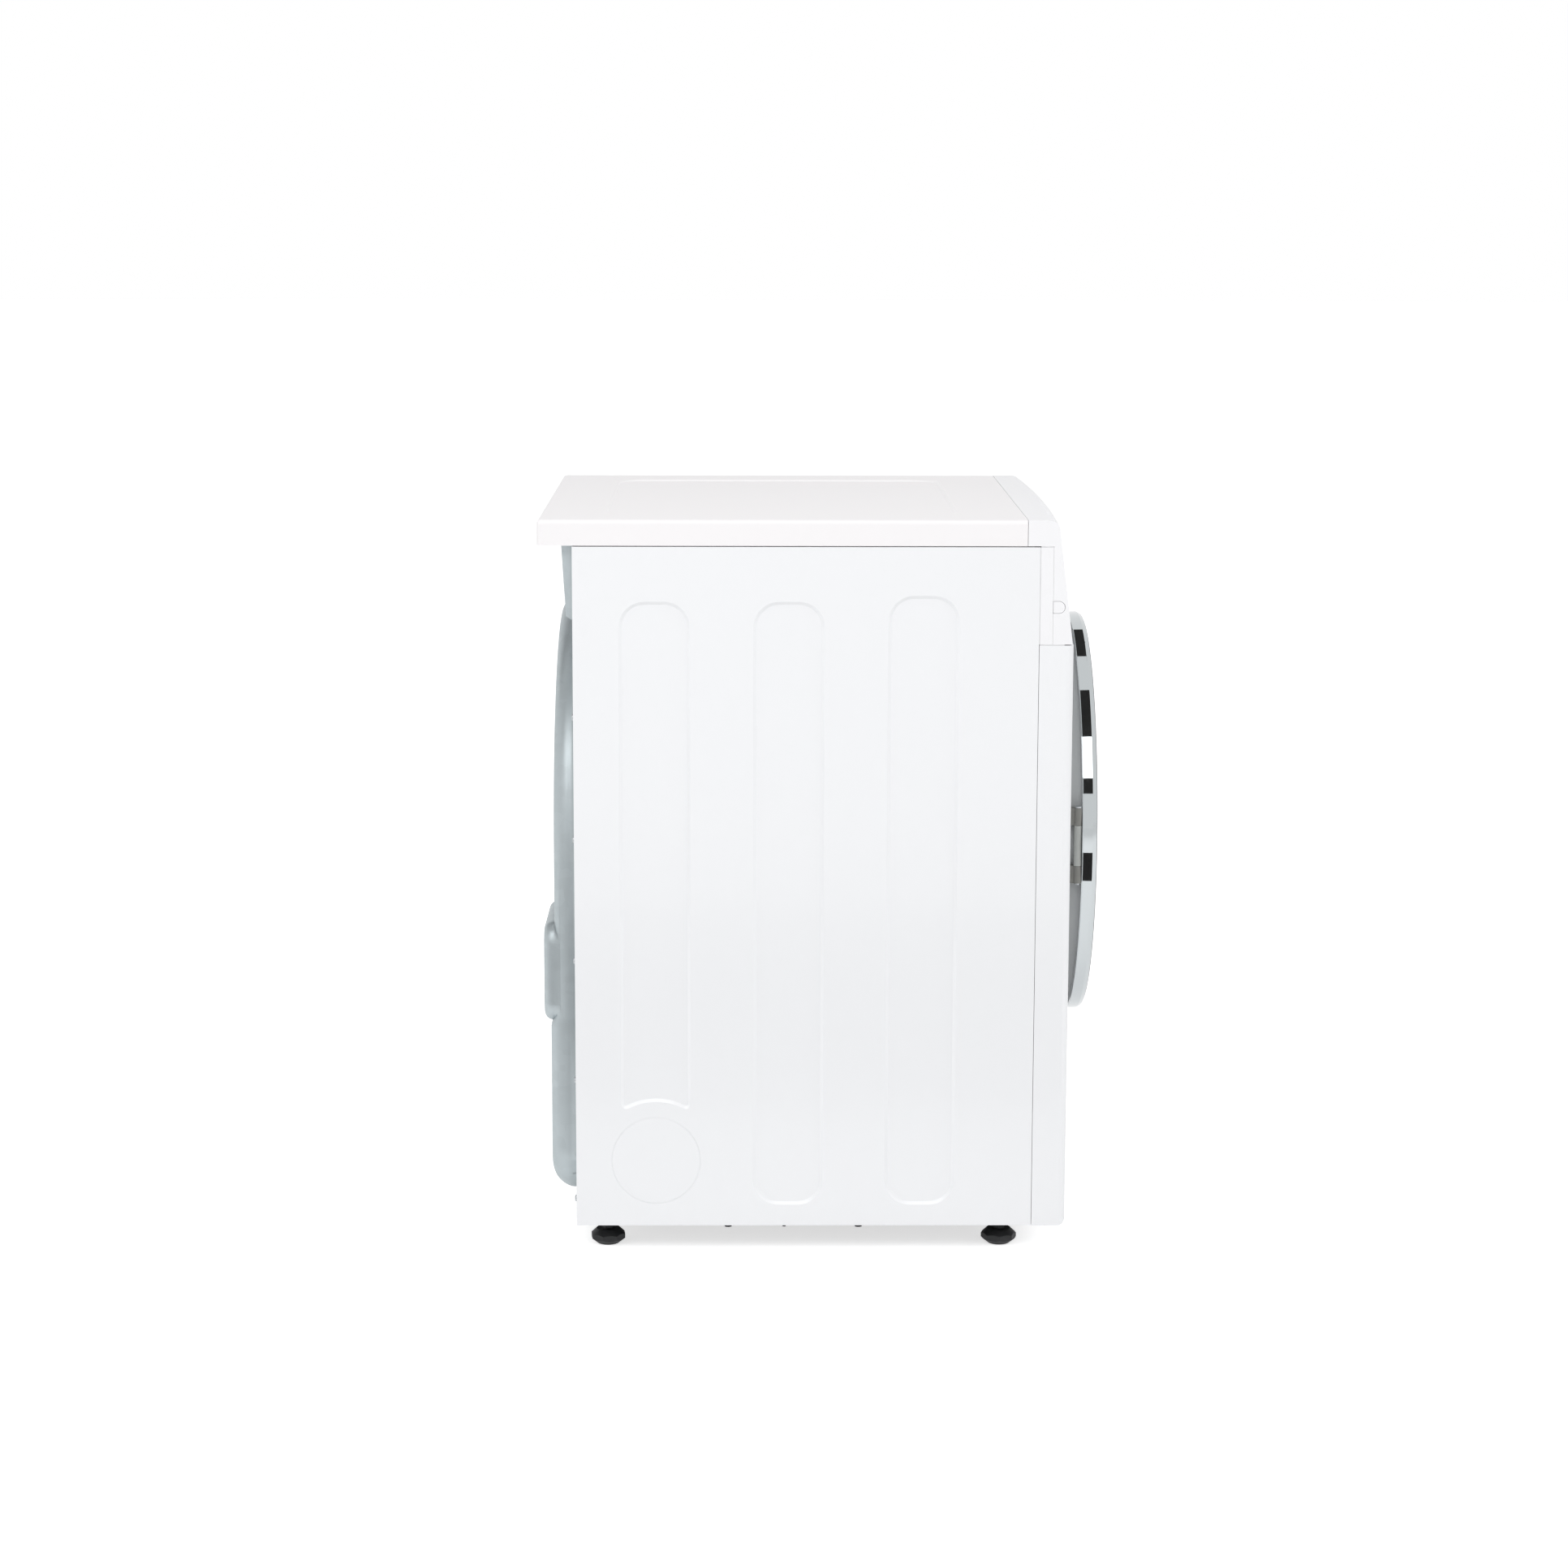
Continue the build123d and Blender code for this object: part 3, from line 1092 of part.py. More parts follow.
def blower_housing():
    """Scroll housing with its inlet at the front and outlet towards the exhaust."""
    wall = AIR_DUCT_WALL

    def form(inset, extra):
        y = (BLOWER_FRONT + inset, BLOWER_REAR - inset)
        low, high = outlet_z()
        scroll = rod(BLOWER_RADIUS - inset, y, BLOWER_X, BLOWER_Z)
        return scroll + block((BLOWER_X, outlet_x() + extra), y, (low + inset, high - inset))

    housing = form(0, 0) - form(wall, 1)
    housing -= rod(INLET_RADIUS, (BLOWER_FRONT - 1, BLOWER_FRONT + 2 * wall), BLOWER_X, BLOWER_Z)
    return housing - rod(SHAFT_RADIUS + 2, (BLOWER_REAR - 2 * wall, BLOWER_REAR + 1), BLOWER_X, BLOWER_Z)


def exhaust_duct():
    """Header across the base and the round pipe that leaves at the rear."""
    wall = AIR_DUCT_WALL
    low = outlet_z()[0]
    high = EXHAUST_Z + EXHAUST_RADIUS + wall
    right = EXHAUST_X + EXHAUST_RADIUS + wall
    y = (BLOWER_FRONT, BLOWER_REAR)

    def header(inset):
        return block((outlet_x() + RUN_GAP + inset, right - inset), (y[0] + inset, y[1] - inset),
                     (low + inset, high - inset))

    pipe_y = (y[1] - wall / 2, SIDE_REAR + EXHAUST_PROUD)
    duct = header(0) - header(wall)
    duct += rod(EXHAUST_RADIUS, pipe_y, EXHAUST_X, EXHAUST_Z)
    duct -= rod(EXHAUST_RADIUS - EXHAUST_WALL, (y[1] - 2 * wall, pipe_y[1] + 1), EXHAUST_X, EXHAUST_Z)
    duct += tube(EXHAUST_RADIUS + EXHAUST_BEAD, EXHAUST_RADIUS - EXHAUST_WALL / 2,
                 (REAR_SHEET_BACK, REAR_SHEET_BACK + EXHAUST_BEAD), EXHAUST_X, EXHAUST_Z)
    inlet = (low + wall, outlet_z()[1] - wall)
    return duct - block((outlet_x(), outlet_x() + 3 * wall), (y[0] + wall, y[1] - wall), inlet)


def run_capacitor():
    """Motor capacitor standing on the base."""
    x = BLOWER_X + MOTOR_RADIUS + CAPACITOR_STEP
    y = MOTOR_FRONT + CAPACITOR_STEP
    top = BASE_TOP + CAPACITOR_HEIGHT
    body = post(CAPACITOR_RADIUS, (BASE_TOP, top), x, y)
    half = CAPACITOR_RADIUS / 6
    for blade in (x - 2 * half, x + 2 * half):
        body += block((blade, blade + SHEET), (y - half, y + half), (top - SHEET, top + 3 * half))
    return body


def belt_outline(drum, pulley, idler):
    """Closed loop round the drum and pulley, pushed in from outside by the idler, drawn as (x, z)."""
    wheels = [((0, DOOR_Z), drum, 1), ((BLOWER_X, BLOWER_Z), pulley, 1), ((IDLER_X, IDLER_Z), idler, -1)]
    ends = []
    for number in range(3):
        (ax, az), ra, sa = wheels[number]
        (bx, bz), rb, sb = wheels[(number + 1) % 3]
        length = math.hypot(bx - ax, bz - az)
        heading = math.atan2(bz - az, bx - ax)
        lean = math.asin((sb * rb - sa * ra) / length)
        normal = heading - math.pi / 2 - lean
        side = (math.cos(normal), math.sin(normal))
        ends.append((ax + sa * ra * side[0], az + sa * ra * side[1]))
        ends.append((bx + sb * rb * side[0], bz + sb * rb * side[1]))
    edges = []
    for number in range(3):
        leave, arrive = ends[2 * number], ends[2 * number + 1]
        edges.append(Line(leave, arrive))
        (cx, cz), radius, side = wheels[(number + 1) % 3]
        after = ends[(2 * number + 2) % 6]
        start = math.atan2(arrive[1] - cz, arrive[0] - cx)
        sweep = (math.atan2(after[1] - cz, after[0] - cx) - start) % (2 * math.pi)
        if side < 0:
            sweep -= 2 * math.pi
        middle = start + sweep / 2
        crest = (cx + radius * math.cos(middle), cz + radius * math.sin(middle))
        edges.append(ThreePointArc(arrive, crest, after))
    return make_face(edges)


def drum_belt():
    """Flat belt round the drum, the motor pulley and the idler."""
    inner = belt_outline(DRUM_RADIUS + RUN_GAP, PULLEY_RADIUS + RUN_GAP,
                         IDLER_RADIUS + RUN_GAP + BELT_THICKNESS)
    outer = belt_outline(DRUM_RADIUS + RUN_GAP + BELT_THICKNESS, PULLEY_RADIUS + RUN_GAP + BELT_THICKNESS,
                         IDLER_RADIUS + RUN_GAP)
    y = (BELT_FRONT, BELT_REAR)
    return prism(outer, y) - prism(inner, (y[0] - 1, y[1] + 1))


def idler_arm():
    """Tensioner arm: a link from its pivot to the pulley's stub axle, with an ear for the spring."""
    y = (ARM_FRONT, ARM_REAR)
    angle = math.degrees(math.atan2(IDLER_Z - PIVOT_Z, IDLER_X - PIVOT_X))
    length = math.hypot(IDLER_Z - PIVOT_Z, IDLER_X - PIVOT_X)
    bar = Pos(length / 2, 0) * SlotOverall(length + ARM_WIDTH, ARM_WIDTH)
    link = Pos(PIVOT_X, PIVOT_Z) * Rot(0, 0, angle) * bar
    arm = prism(link, y)
    arm += rod(IDLER_PIN_RADIUS, (BELT_FRONT - 3, y[1]), IDLER_X, IDLER_Z)
    arm += rod(IDLER_PIN_RADIUS + 3, (BELT_REAR + 1, y[1]), IDLER_X, IDLER_Z)
    return arm - rod(IDLER_PIN_RADIUS + 1 + FIT, (y[0] - 1, y[1] + 1), PIVOT_X, PIVOT_Z)


def idler_pulley():
    """Crowned idler pulley on the arm's stub axle."""
    y = (BELT_FRONT - 1, BELT_REAR + RUN_GAP)
    return tube(IDLER_RADIUS, IDLER_PIN_RADIUS + FIT, y, IDLER_X, IDLER_Z)


def idler_spring():
    """Spring between the base and the middle of the arm."""
    x = (IDLER_X + PIVOT_X) / 2
    slope = math.atan2(abs(IDLER_ARM_DZ), abs(IDLER_ARM_DX))
    drop = ARM_WIDTH / 2 / math.cos(slope) + SPRING_RADIUS * math.tan(slope) + RUN_GAP
    top = (IDLER_Z + PIVOT_Z) / 2 - drop
    return post(SPRING_RADIUS, (BASE_TOP, top), x, (ARM_FRONT + ARM_REAR) / 2)


# Rear of the cabinet

def rear_panel():
    """Galvanised back with the bearing hole, hot-air slots and holes for the pipe and cable gland."""
    panel = block((-HALF + BULKHEAD_MARGIN, HALF - BULKHEAD_MARGIN), (REAR_SHEET_FRONT, REAR_SHEET_BACK),
                  (BASE_TOP, SIDE_TOP - RIM))
    through = (REAR_SHEET_FRONT - 1, REAR_SHEET_BACK + 1)
    slots = tube(AIR_RING_OUTER, AIR_RING_INNER, through)
    for number in range(4):
        spoke = block((-SPOKE_WIDTH / 2, SPOKE_WIDTH / 2), through,
                      (DOOR_Z - DRUM_RADIUS, DOOR_Z + DRUM_RADIUS))
        slots -= about_y(spoke, number * 45)
    panel -= slots
    panel -= rod(HUB_RADIUS + FIT, through)
    panel -= rod(EXHAUST_RADIUS + SEAM, through, EXHAUST_X, EXHAUST_Z)
    return panel - rod(GLAND_RADIUS + FIT, through, GLAND_X, GLAND_Z)


def rail_outline(inset):
    """Section of the rail under the worktop, drawn as (y, z)."""
    base = REAR_SHEET_BACK
    top = RAIL_TOP - inset
    low = RAIL_TOP - RAIL_HEIGHT
    return make_face(Polyline(
        (base, top),
        (base + RAIL_PROUD_TOP - inset, top),
        (base + RAIL_PROUD_FOLD - inset, RAIL_TOP - RAIL_FOLD_DROP),
        (base + RAIL_PROUD_BOTTOM - inset, low + inset),
        (base, low - RAIL_LIP / 2 + 1.5 * inset),
        close=True))


def upper_rear_rail():
    """Pressed rail under the worktop's rear edge: bulged face, closed ends and a lip on the rear panel."""
    reach = HALF - RIM - 2 * SEAM
    rail = extrude(Plane.YZ * rail_outline(0), amount=reach, both=True)
    rail -= extrude(Plane.YZ * rail_outline(SHEET), amount=reach - SHEET, both=True)
    low = RAIL_TOP - RAIL_HEIGHT - RAIL_LIP
    base = (REAR_SHEET_BACK, REAR_SHEET_BACK + SHEET)
    rail += block((-reach, reach), base, (low, low + RAIL_LIP / 2 + SHEET))
    return rail + block((-reach, reach), (base[0] - RIM, base[1]), (RAIL_TOP - SHEET, RAIL_TOP))


def duct_outline(grow):
    """Round cover over the drum's back with a leg down the left side, drawn as (x, z)."""
    radius = COVER_RADIUS + grow
    low = COVER_BOTTOM - grow
    right = -COVER_RADIUS + COVER_LEG_WIDTH + grow
    corner = COVER_LEG_CORNER + grow
    meet = DOOR_Z - math.sqrt(radius ** 2 - right ** 2)
    diagonal = corner * (1 - math.sqrt(0.5))
    edges = [
        Line((-radius, DOOR_Z), (-radius, low + corner)),
        ThreePointArc((-radius, low + corner), (-radius + diagonal, low + diagonal), (-radius + corner, low)),
        Line((-radius + corner, low), (right - corner, low)),
        ThreePointArc((right - corner, low), (right - diagonal, low + diagonal), (right, low + corner)),
        Line((right, low + corner), (right, meet)),
        ThreePointArc((right, meet), (radius, DOOR_Z), (0, DOOR_Z + radius)),
        ThreePointArc((0, DOOR_Z + radius), (-radius * math.sqrt(0.5), DOOR_Z + radius * math.sqrt(0.5)),
                      (-radius, DOOR_Z)),
    ]
    face = make_face(edges)
    crook = face.vertices().sort_by_distance((right, meet, 0))[0]
    return fillet(crook, COVER_LEG_CORNER / 2 - grow)


def cover_form(inset):
    """Outer form of the duct cover, or the space inside its sheet."""
    start = REAR_SHEET_BACK
    form = prism(duct_outline(-inset), (start, start + SHEET + COVER_PROUD - inset))
    form = fillet(form.faces().sort_by(Axis.Y)[-1].edges(), COVER_EDGE_RADIUS - inset)
    width = BUMP_WIDTH - 2 * inset
    height = BUMP_HEIGHT - 2 * inset
    middle = Pos(-COVER_RADIUS + BUMP_INSET + BUMP_WIDTH / 2, BUMP_BOTTOM + BUMP_HEIGHT / 2)
    bump = prism(middle * RectangleRounded(width, height, BUMP_CORNER - inset),
                 (start, start + SHEET + COVER_PROUD + BUMP_PROUD - inset))
    return form + fillet(bump.faces().sort_by(Axis.Y)[-1].edges(), BUMP_PROUD - 2 - inset)


def rear_duct_cover():
    """Bulged galvanised cover over the hot-air duct and heater, with an air inlet in its leg."""
    cover = cover_form(0) - cover_form(SHEET)
    flange = prism(duct_outline(COVER_FLANGE) - duct_outline(-SHEET),
                   (REAR_SHEET_BACK, REAR_SHEET_BACK + SHEET))
    top = RAIL_TOP - RAIL_HEIGHT - RAIL_LIP - SEAM
    cover += flange & block((-HALF, HALF), (REAR_SHEET_BACK - 1, SIDE_REAR + 1), (0, top))
    middle = -COVER_RADIUS + COVER_LEG_WIDTH / 2
    through = (SIDE_REAR + 2 * SHEET, SIDE_REAR + COVER_PROUD + SHEET)
    slots = []
    for row in range(5):
        slot = SlotOverall(COVER_LEG_WIDTH - 2 * LOUVRE_MARGIN, LOUVRE_HEIGHT)
        level = COVER_BOTTOM + COVER_LEG_CORNER + row * LOUVRE_PITCH
        slots.append(prism(Pos(middle, level) * slot, through))
    return cover - slots


def heater():
    """Sheathed heating element: one bent tube held off the rear panel by two straps."""
    middle = -COVER_RADIUS + COVER_LEG_WIDTH / 2
    y = REAR_SHEET_BACK + HEATER_STAND_OFF
    low = COVER_BOTTOM + COVER_LEG_CORNER + HEATER_RISE
    high = BUMP_BOTTOM + BUMP_HEIGHT
    points = []
    for run in range(4):
        x = middle + (run - 1.5) * HEATER_STEP
        ends = [(x, y, low), (x, y, high)]
        points += ends if run % 2 == 0 else ends[::-1]
    path = FilletPolyline(*points, radius=HEATER_BEND)
    element = sweep(Plane(points[0], z_dir=(0, 0, 1)) * Circle(HEATER_TUBE_RADIUS), path)
    reach = 2 * HEATER_STEP
    for level in (low + STRAP_INSET, high - STRAP_INSET):
        element += block((middle - reach, middle + reach), (REAR_SHEET_BACK, y),
                         (level, level + STRAP_HEIGHT))
    return element


def cord_gland():
    """Gland in the rear panel for the supply cord."""
    tail = REAR_SHEET_FRONT - GLAND_RADIUS
    collar = GLAND_RADIUS + GLAND_BORE
    nose = REAR_SHEET_BACK + GLAND_RADIUS
    return turned([
        (GLAND_BORE, tail),
        (GLAND_RADIUS, tail),
        (GLAND_RADIUS, REAR_SHEET_BACK),
        (collar, REAR_SHEET_BACK),
        (collar, REAR_SHEET_BACK + PLASTIC),
        (GLAND_RADIUS - 2 * SHEET, nose),
        (GLAND_BORE, nose),
    ], GLAND_X, GLAND_Z)


def rear_screws():
    """Screw heads along the side rims and round the duct cover's flange."""
    heads = []
    for level in [SIDE_BOTTOM + SCREW_FIRST + n * SCREW_PITCH for n in range(5)]:
        for side in (-1, 1):
            x = side * (HALF - RIM / 2)
            heads.append(rod(SCREW_RADIUS, (SIDE_REAR, SIDE_REAR + SCREW_HEAD), x, level))
    orbit = COVER_RADIUS + COVER_FLANGE / 2
    seat = REAR_SHEET_BACK + SHEET
    for angle in (-30, 15, 60, 120, 165):
        turn = math.radians(angle)
        heads.append(rod(COVER_FLANGE / 2 - SEAM, (seat, seat + SCREW_HEAD), orbit * math.cos(turn),
                         DOOR_Z + orbit * math.sin(turn)))
    return heads


# Base and feet

def base_pegs():
    """Y of the locating pegs under each side."""
    middle = (SIDE_FRONT + SIDE_REAR) / 2
    return [middle + PEG_BACK, middle + PEG_MIDDLE, middle - PEG_FORWARD]


def foot_sites():
    """Name and place of each levelling foot."""
    x = HALF - FOOT_X_INSET
    front = SIDE_FRONT + FOOT_Y_INSET
    rear = SIDE_REAR - FOOT_Y_INSET
    return [("front_left_foot", -x, front), ("front_right_foot", x, front),
            ("rear_left_foot", -x, rear), ("rear_right_foot", x, rear)]


def base_tray():
    """Moulded base: floor, walls, foot sockets, pipe saddles, idler post and locating pegs."""
    x = HALF - RIB_DEPTH - 2 * SHEET - SEAM
    y = (PLATE_REAR, REAR_SHEET_FRONT - SEAM)
    wall = PLASTIC
    tray = block((-x, x), y, (BASE_BOTTOM, BASE_RIM))
    tray -= block((-x + wall, x - wall), (y[0] + wall, y[1] - wall), (BASE_TOP, BASE_RIM + 1))
    for _, foot_x, foot_y in foot_sites():
        tray += post(3 * STUD_RADIUS, (BASE_BOTTOM, BASE_RIM), foot_x, foot_y)
        tray -= post(STUD_RADIUS + FIT, (BASE_BOTTOM - 1, BASE_RIM + 1), foot_x, foot_y)
    rib = (BLOWER_FRONT + BLOWER_REAR) / 2
    tray += block((BLOWER_X, EXHAUST_X + EXHAUST_RADIUS / 2), (rib - PLASTIC, rib + PLASTIC),
                  (BASE_TOP - 1, outlet_z()[0]))
    tray -= rod(EXHAUST_RADIUS + RUN_GAP, (y[1] - 2 * wall, y[1] + 1), EXHAUST_X, EXHAUST_Z)
    half = EXHAUST_RADIUS * 0.7
    for y_saddle in (MOTOR_FRONT, REAR_SHEET_FRONT - 4 * RIM):
        saddle = block((EXHAUST_X - half, EXHAUST_X + half), (y_saddle, y_saddle + 5),
                       (BASE_TOP - 1, EXHAUST_Z - EXHAUST_RADIUS * 0.5))
        tray += saddle - rod(EXHAUST_RADIUS + RUN_GAP, (y_saddle - 1, y_saddle + 6), EXHAUST_X, EXHAUST_Z)
    post_y = (ARM_REAR + 1, ARM_REAR + 13)
    tray += block((PIVOT_X - 12, PIVOT_X + 12), post_y, (BASE_TOP - 1, PIVOT_Z + 12))
    tray += rod(IDLER_PIN_RADIUS + 1, (ARM_FRONT - 2, post_y[1]), PIVOT_X, PIVOT_Z)
    for side in (-1, 1):
        for number, y_peg in enumerate(base_pegs()):
            radius = PEG_RADIUS if number != 1 else PEG_RADIUS / 2
            tray += post(radius, (SIDE_BOTTOM - PEG_DROP, BASE_BOTTOM + 1), side * PEG_X, y_peg)
    return tray


def foot(x, y, turn):
    """Levelling foot: an eight-sided pad and a zinc stud with a hexagon to turn it by."""
    rim = FOOT_RADIUS
    section = make_face(Polyline((0, 0), (rim - 8, 0), (rim, 6.5), (rim, 11), (rim - 7, FOOT_HEIGHT),
                                 (0, FOOT_HEIGHT), close=True))
    pad = revolve(Plane.XZ * section, Axis.Z)
    pad &= extrude(RegularPolygon(rim, 8), amount=FOOT_HEIGHT)
    socket = FOOT_HEIGHT - 2.0
    hexagon = RegularPolygon(HEX_ACROSS / 2, 6, major_radius=False)
    pad -= Pos(0, 0, socket) * extrude(offset(hexagon, RUN_GAP), amount=3)
    stud = Pos(0, 0, socket) * extrude(hexagon, amount=8)
    stud += post(STUD_RADIUS, (socket, BASE_RIM - 2), 0, 0)
    place = Pos(x, y, 0) * Rot(0, 0, turn)
    return [place * pad, place * stud]


def build_parts():
    """Every node of the assembly, by name."""
    left = left_side_panel()
    parts = {
        "worktop": worktop(),
        "left_side_panel": left,
        "right_side_panel": mirror(left, about=Plane.YZ),
        "front_panel": front_panel(),
        "control_fascia": control_fascia(),
        "control_carrier": control_carrier(),
        "display_window": display_window(),
        "control_board": control_board(),
        "program_knob": knob(),
        "start_button": button(Circle(START_RADIUS), START_X, KNOB_Z),
        "door_ring": door_ring(),
        "door_window": door_window(),
        "door_liner": door_liner(),
        "door_bowl": door_bowl(),
        "door_seal": door_seal(),
        "door_hinge_leaf": door_hinge_leaf(),
        "latch_hook": latch_hook(),
        "hinge_bracket": hinge_bracket(),
        "hinge_pin": hinge_pin(),
        "door_catch": door_catch(),
        "drum_shell": drum_shell(),
        "drum_back": drum_back(),
        "drum_lifters": drum_lifters(),
        "drum_spindle": drum_spindle(),
        "spindle_bush": spindle_bush(),
        "bearing_housing": bearing_housing(),
        "front_drum_felt": front_drum_felt(),
        "rear_drum_felt": rear_drum_felt(),
        "left_drum_roller": drum_roller(-1),
        "right_drum_roller": drum_roller(1),
        "roller_axles": roller_axles(),
        "front_bulkhead": front_bulkhead(),
        "filter_duct": filter_duct(),
        "lint_filter": lint_filter(),
        "motor_body": motor_body(),
        "motor_cradle": motor_cradle(),
        "motor_shaft": motor_shaft(),
        "drive_pulley": drive_pulley(),
        "blower_wheel": blower_wheel(),
        "blower_housing": blower_housing(),
        "exhaust_duct": exhaust_duct(),
        "run_capacitor": run_capacitor(),
        "drum_belt": drum_belt(),
        "idler_arm": idler_arm(),
        "idler_pulley": idler_pulley(),
        "idler_spring": idler_spring(),
        "rear_panel": rear_panel(),
        "upper_rear_rail": upper_rear_rail(),
        "rear_duct_cover": rear_duct_cover(),
        "heater": heater(),
        "cord_gland": cord_gland(),
        "rear_screws": rear_screws(),
        "base_tray": base_tray(),
    }
    for name, x in button_sites():
        parts[name] = button(RectangleRounded(BUTTON_WIDTH, BUTTON_HEIGHT, 3), x, BUTTON_Z)
    for number, (name, x, y) in enumerate(foot_sites()):
        parts[name] = foot(x, y, 15 * number)
    return parts


def main():
    """Write one STEP file for each node."""
    os.makedirs("parts", exist_ok=True)
    for name, shape in build_parts().items():
        solids = shape if isinstance(shape, list) else [shape]
        pieces = [solid for item in solids for solid in item.solids()]
        whole = pieces[0] if len(pieces) == 1 else Compound(children=pieces)
        whole.label = name
        export_step(whole, "parts/%s.step" % name)
        print(name, len(pieces))


if __name__ == "__main__":
    main()
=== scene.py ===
# %% [markdown]
# # A clothes dryer, photographed from its left side
#
# The CAD model gives every panel, the door, the drum and the drive in metres. This script dresses it:
# materials first, then the few pieces that want a smoother or finer form than the CAD gives them,
# then the camera, the lamps and the floor.

import json
import math

import bmesh
import bpy
from mathutils import Matrix, Vector


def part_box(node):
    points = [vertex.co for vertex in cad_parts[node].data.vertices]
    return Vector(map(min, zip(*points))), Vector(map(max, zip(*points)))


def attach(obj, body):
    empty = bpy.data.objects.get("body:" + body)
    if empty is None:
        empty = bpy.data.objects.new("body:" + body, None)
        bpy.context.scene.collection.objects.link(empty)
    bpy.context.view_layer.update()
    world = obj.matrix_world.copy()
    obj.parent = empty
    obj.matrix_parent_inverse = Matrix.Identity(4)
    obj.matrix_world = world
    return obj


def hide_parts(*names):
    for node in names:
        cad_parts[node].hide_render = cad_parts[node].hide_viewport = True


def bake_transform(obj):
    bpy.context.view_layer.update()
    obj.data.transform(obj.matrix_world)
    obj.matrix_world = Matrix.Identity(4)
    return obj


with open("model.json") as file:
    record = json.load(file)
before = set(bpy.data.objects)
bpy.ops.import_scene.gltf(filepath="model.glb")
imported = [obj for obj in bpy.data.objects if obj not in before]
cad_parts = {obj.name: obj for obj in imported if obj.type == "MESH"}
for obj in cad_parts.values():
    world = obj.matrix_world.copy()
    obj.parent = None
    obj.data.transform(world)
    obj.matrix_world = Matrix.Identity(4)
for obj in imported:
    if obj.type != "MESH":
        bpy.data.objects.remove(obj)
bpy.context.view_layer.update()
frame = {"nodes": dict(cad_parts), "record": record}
nodes = frame["nodes"]
print("CAD nodes:", len(nodes))

# %% [markdown]
# ## Small helpers
#
# Colours are written the way a paint chart or an image editor shows them, as sRGB hex. Blender works in
# linear light, so one function converts them. A second one adds a shader node, sets its values and
# makes its links in one line, which keeps each material short enough to read. Sums on a socket, such as
# a product or the larger of two values, get their own short function, because they come up so often.

# %% Helpers for colours and shader nodes
def linear(text):
    """Linear RGBA of an sRGB hex colour such as "#F4F5F6"."""
    channels = [int(text[i:i + 2], 16) / 255 for i in (1, 3, 5)]
    return tuple(c / 12.92 if c <= 0.04045 else ((c + 0.055) / 1.055) ** 2.4 for c in channels) + (1.0,)


def add(tree, kind, inputs=None, **settings):
    """One shader node; an input given as another node's socket becomes a link."""
    node = tree.nodes.new(kind)
    for name, value in settings.items():
        setattr(node, name, value)
    for name, value in (inputs or {}).items():
        if isinstance(value, bpy.types.NodeSocket):
            tree.links.new(value, node.inputs[name])
        else:
            node.inputs[name].default_value = value
    return node


def per_mm(size):
    """Texture scale for a pattern of this many millimetres, on coordinates in metres."""
    return 1000.0 / size


def surface(name, colour, roughness, **values):
    """A material with one Principled node; returns the material, its tree and that node."""
    material = bpy.data.materials.new(name)
    material.use_nodes = True
    tree = material.node_tree
    tree.nodes.clear()
    shader = add(tree, "ShaderNodeBsdfPrincipled", {"Base Color": linear(colour), "Roughness": roughness})
    for socket, value in values.items():
        shader.inputs[socket.replace("_", " ")].default_value = value
    output = add(tree, "ShaderNodeOutputMaterial")
    tree.links.new(shader.outputs["BSDF"], output.inputs["Surface"])
    return material, tree, shader


def compute(tree, operation, first, second=0.0):
    """One step of arithmetic on a socket; returns the result's socket."""
    return add(tree, "ShaderNodeMath", {0: first, 1: second}, operation=operation).outputs[0]


def bump(tree, shader, height, strength, distance_mm):
    """Turns a height socket into a bumped normal on the shader."""
    node = add(tree, "ShaderNodeBump",
               {"Height": height, "Strength": strength, "Distance": distance_mm / 1000})
    tree.links.new(node.outputs["Normal"], shader.inputs["Normal"])


# %% [markdown]
# ## Painted and moulded whites
#
# The side and front panels are enamelled sheet: a smooth satin coat with a very weak ripple a few
# millimetres across. The top and the control panel are moulded plastic with a fine grain, a touch
# warmer than the sheet. Both ripples come from noise in object coordinates, so their scale is real.

# %% White enamel and white plastics
def grained(name, colour, roughness, grain_mm, depth_mm, **values):
    """A surface with a fine noise relief."""
    material, tree, shader = surface(name, colour, roughness, **values)
    place = add(tree, "ShaderNodeTexCoord")
    noise = add(tree, "ShaderNodeTexNoise",
                {"Vector": place.outputs["Object"], "Scale": per_mm(grain_mm), "Detail": 2.0})
    bump(tree, shader, noise.outputs["Fac"], 0.35, depth_mm)
    return material


enamel = grained("white_enamel", "#F6F7F9", 0.32, 5.0, 0.01, Coat_Weight=0.25, Coat_Roughness=0.12)
top_plastic = grained("warm_white_plastic", "#FAF8F9", 0.48, 0.9, 0.02, Specular_IOR_Level=0.3)
panel_plastic = grained("white_plastic", "#F9F9FB", 0.45, 1.0, 0.015)
print("white materials:", enamel.name, top_plastic.name, panel_plastic.name)

# %% [markdown]
# ## Metals
#
# Hot-dipped zinc freezes into flat crystals about a centimetre across, each with a slightly different
# grey. A Voronoi pattern gives those cells, and its random colour drives both the tone and the gloss.
# The door ring is chromed plastic, so it is a clean mirror. The drum is brushed round its axis.

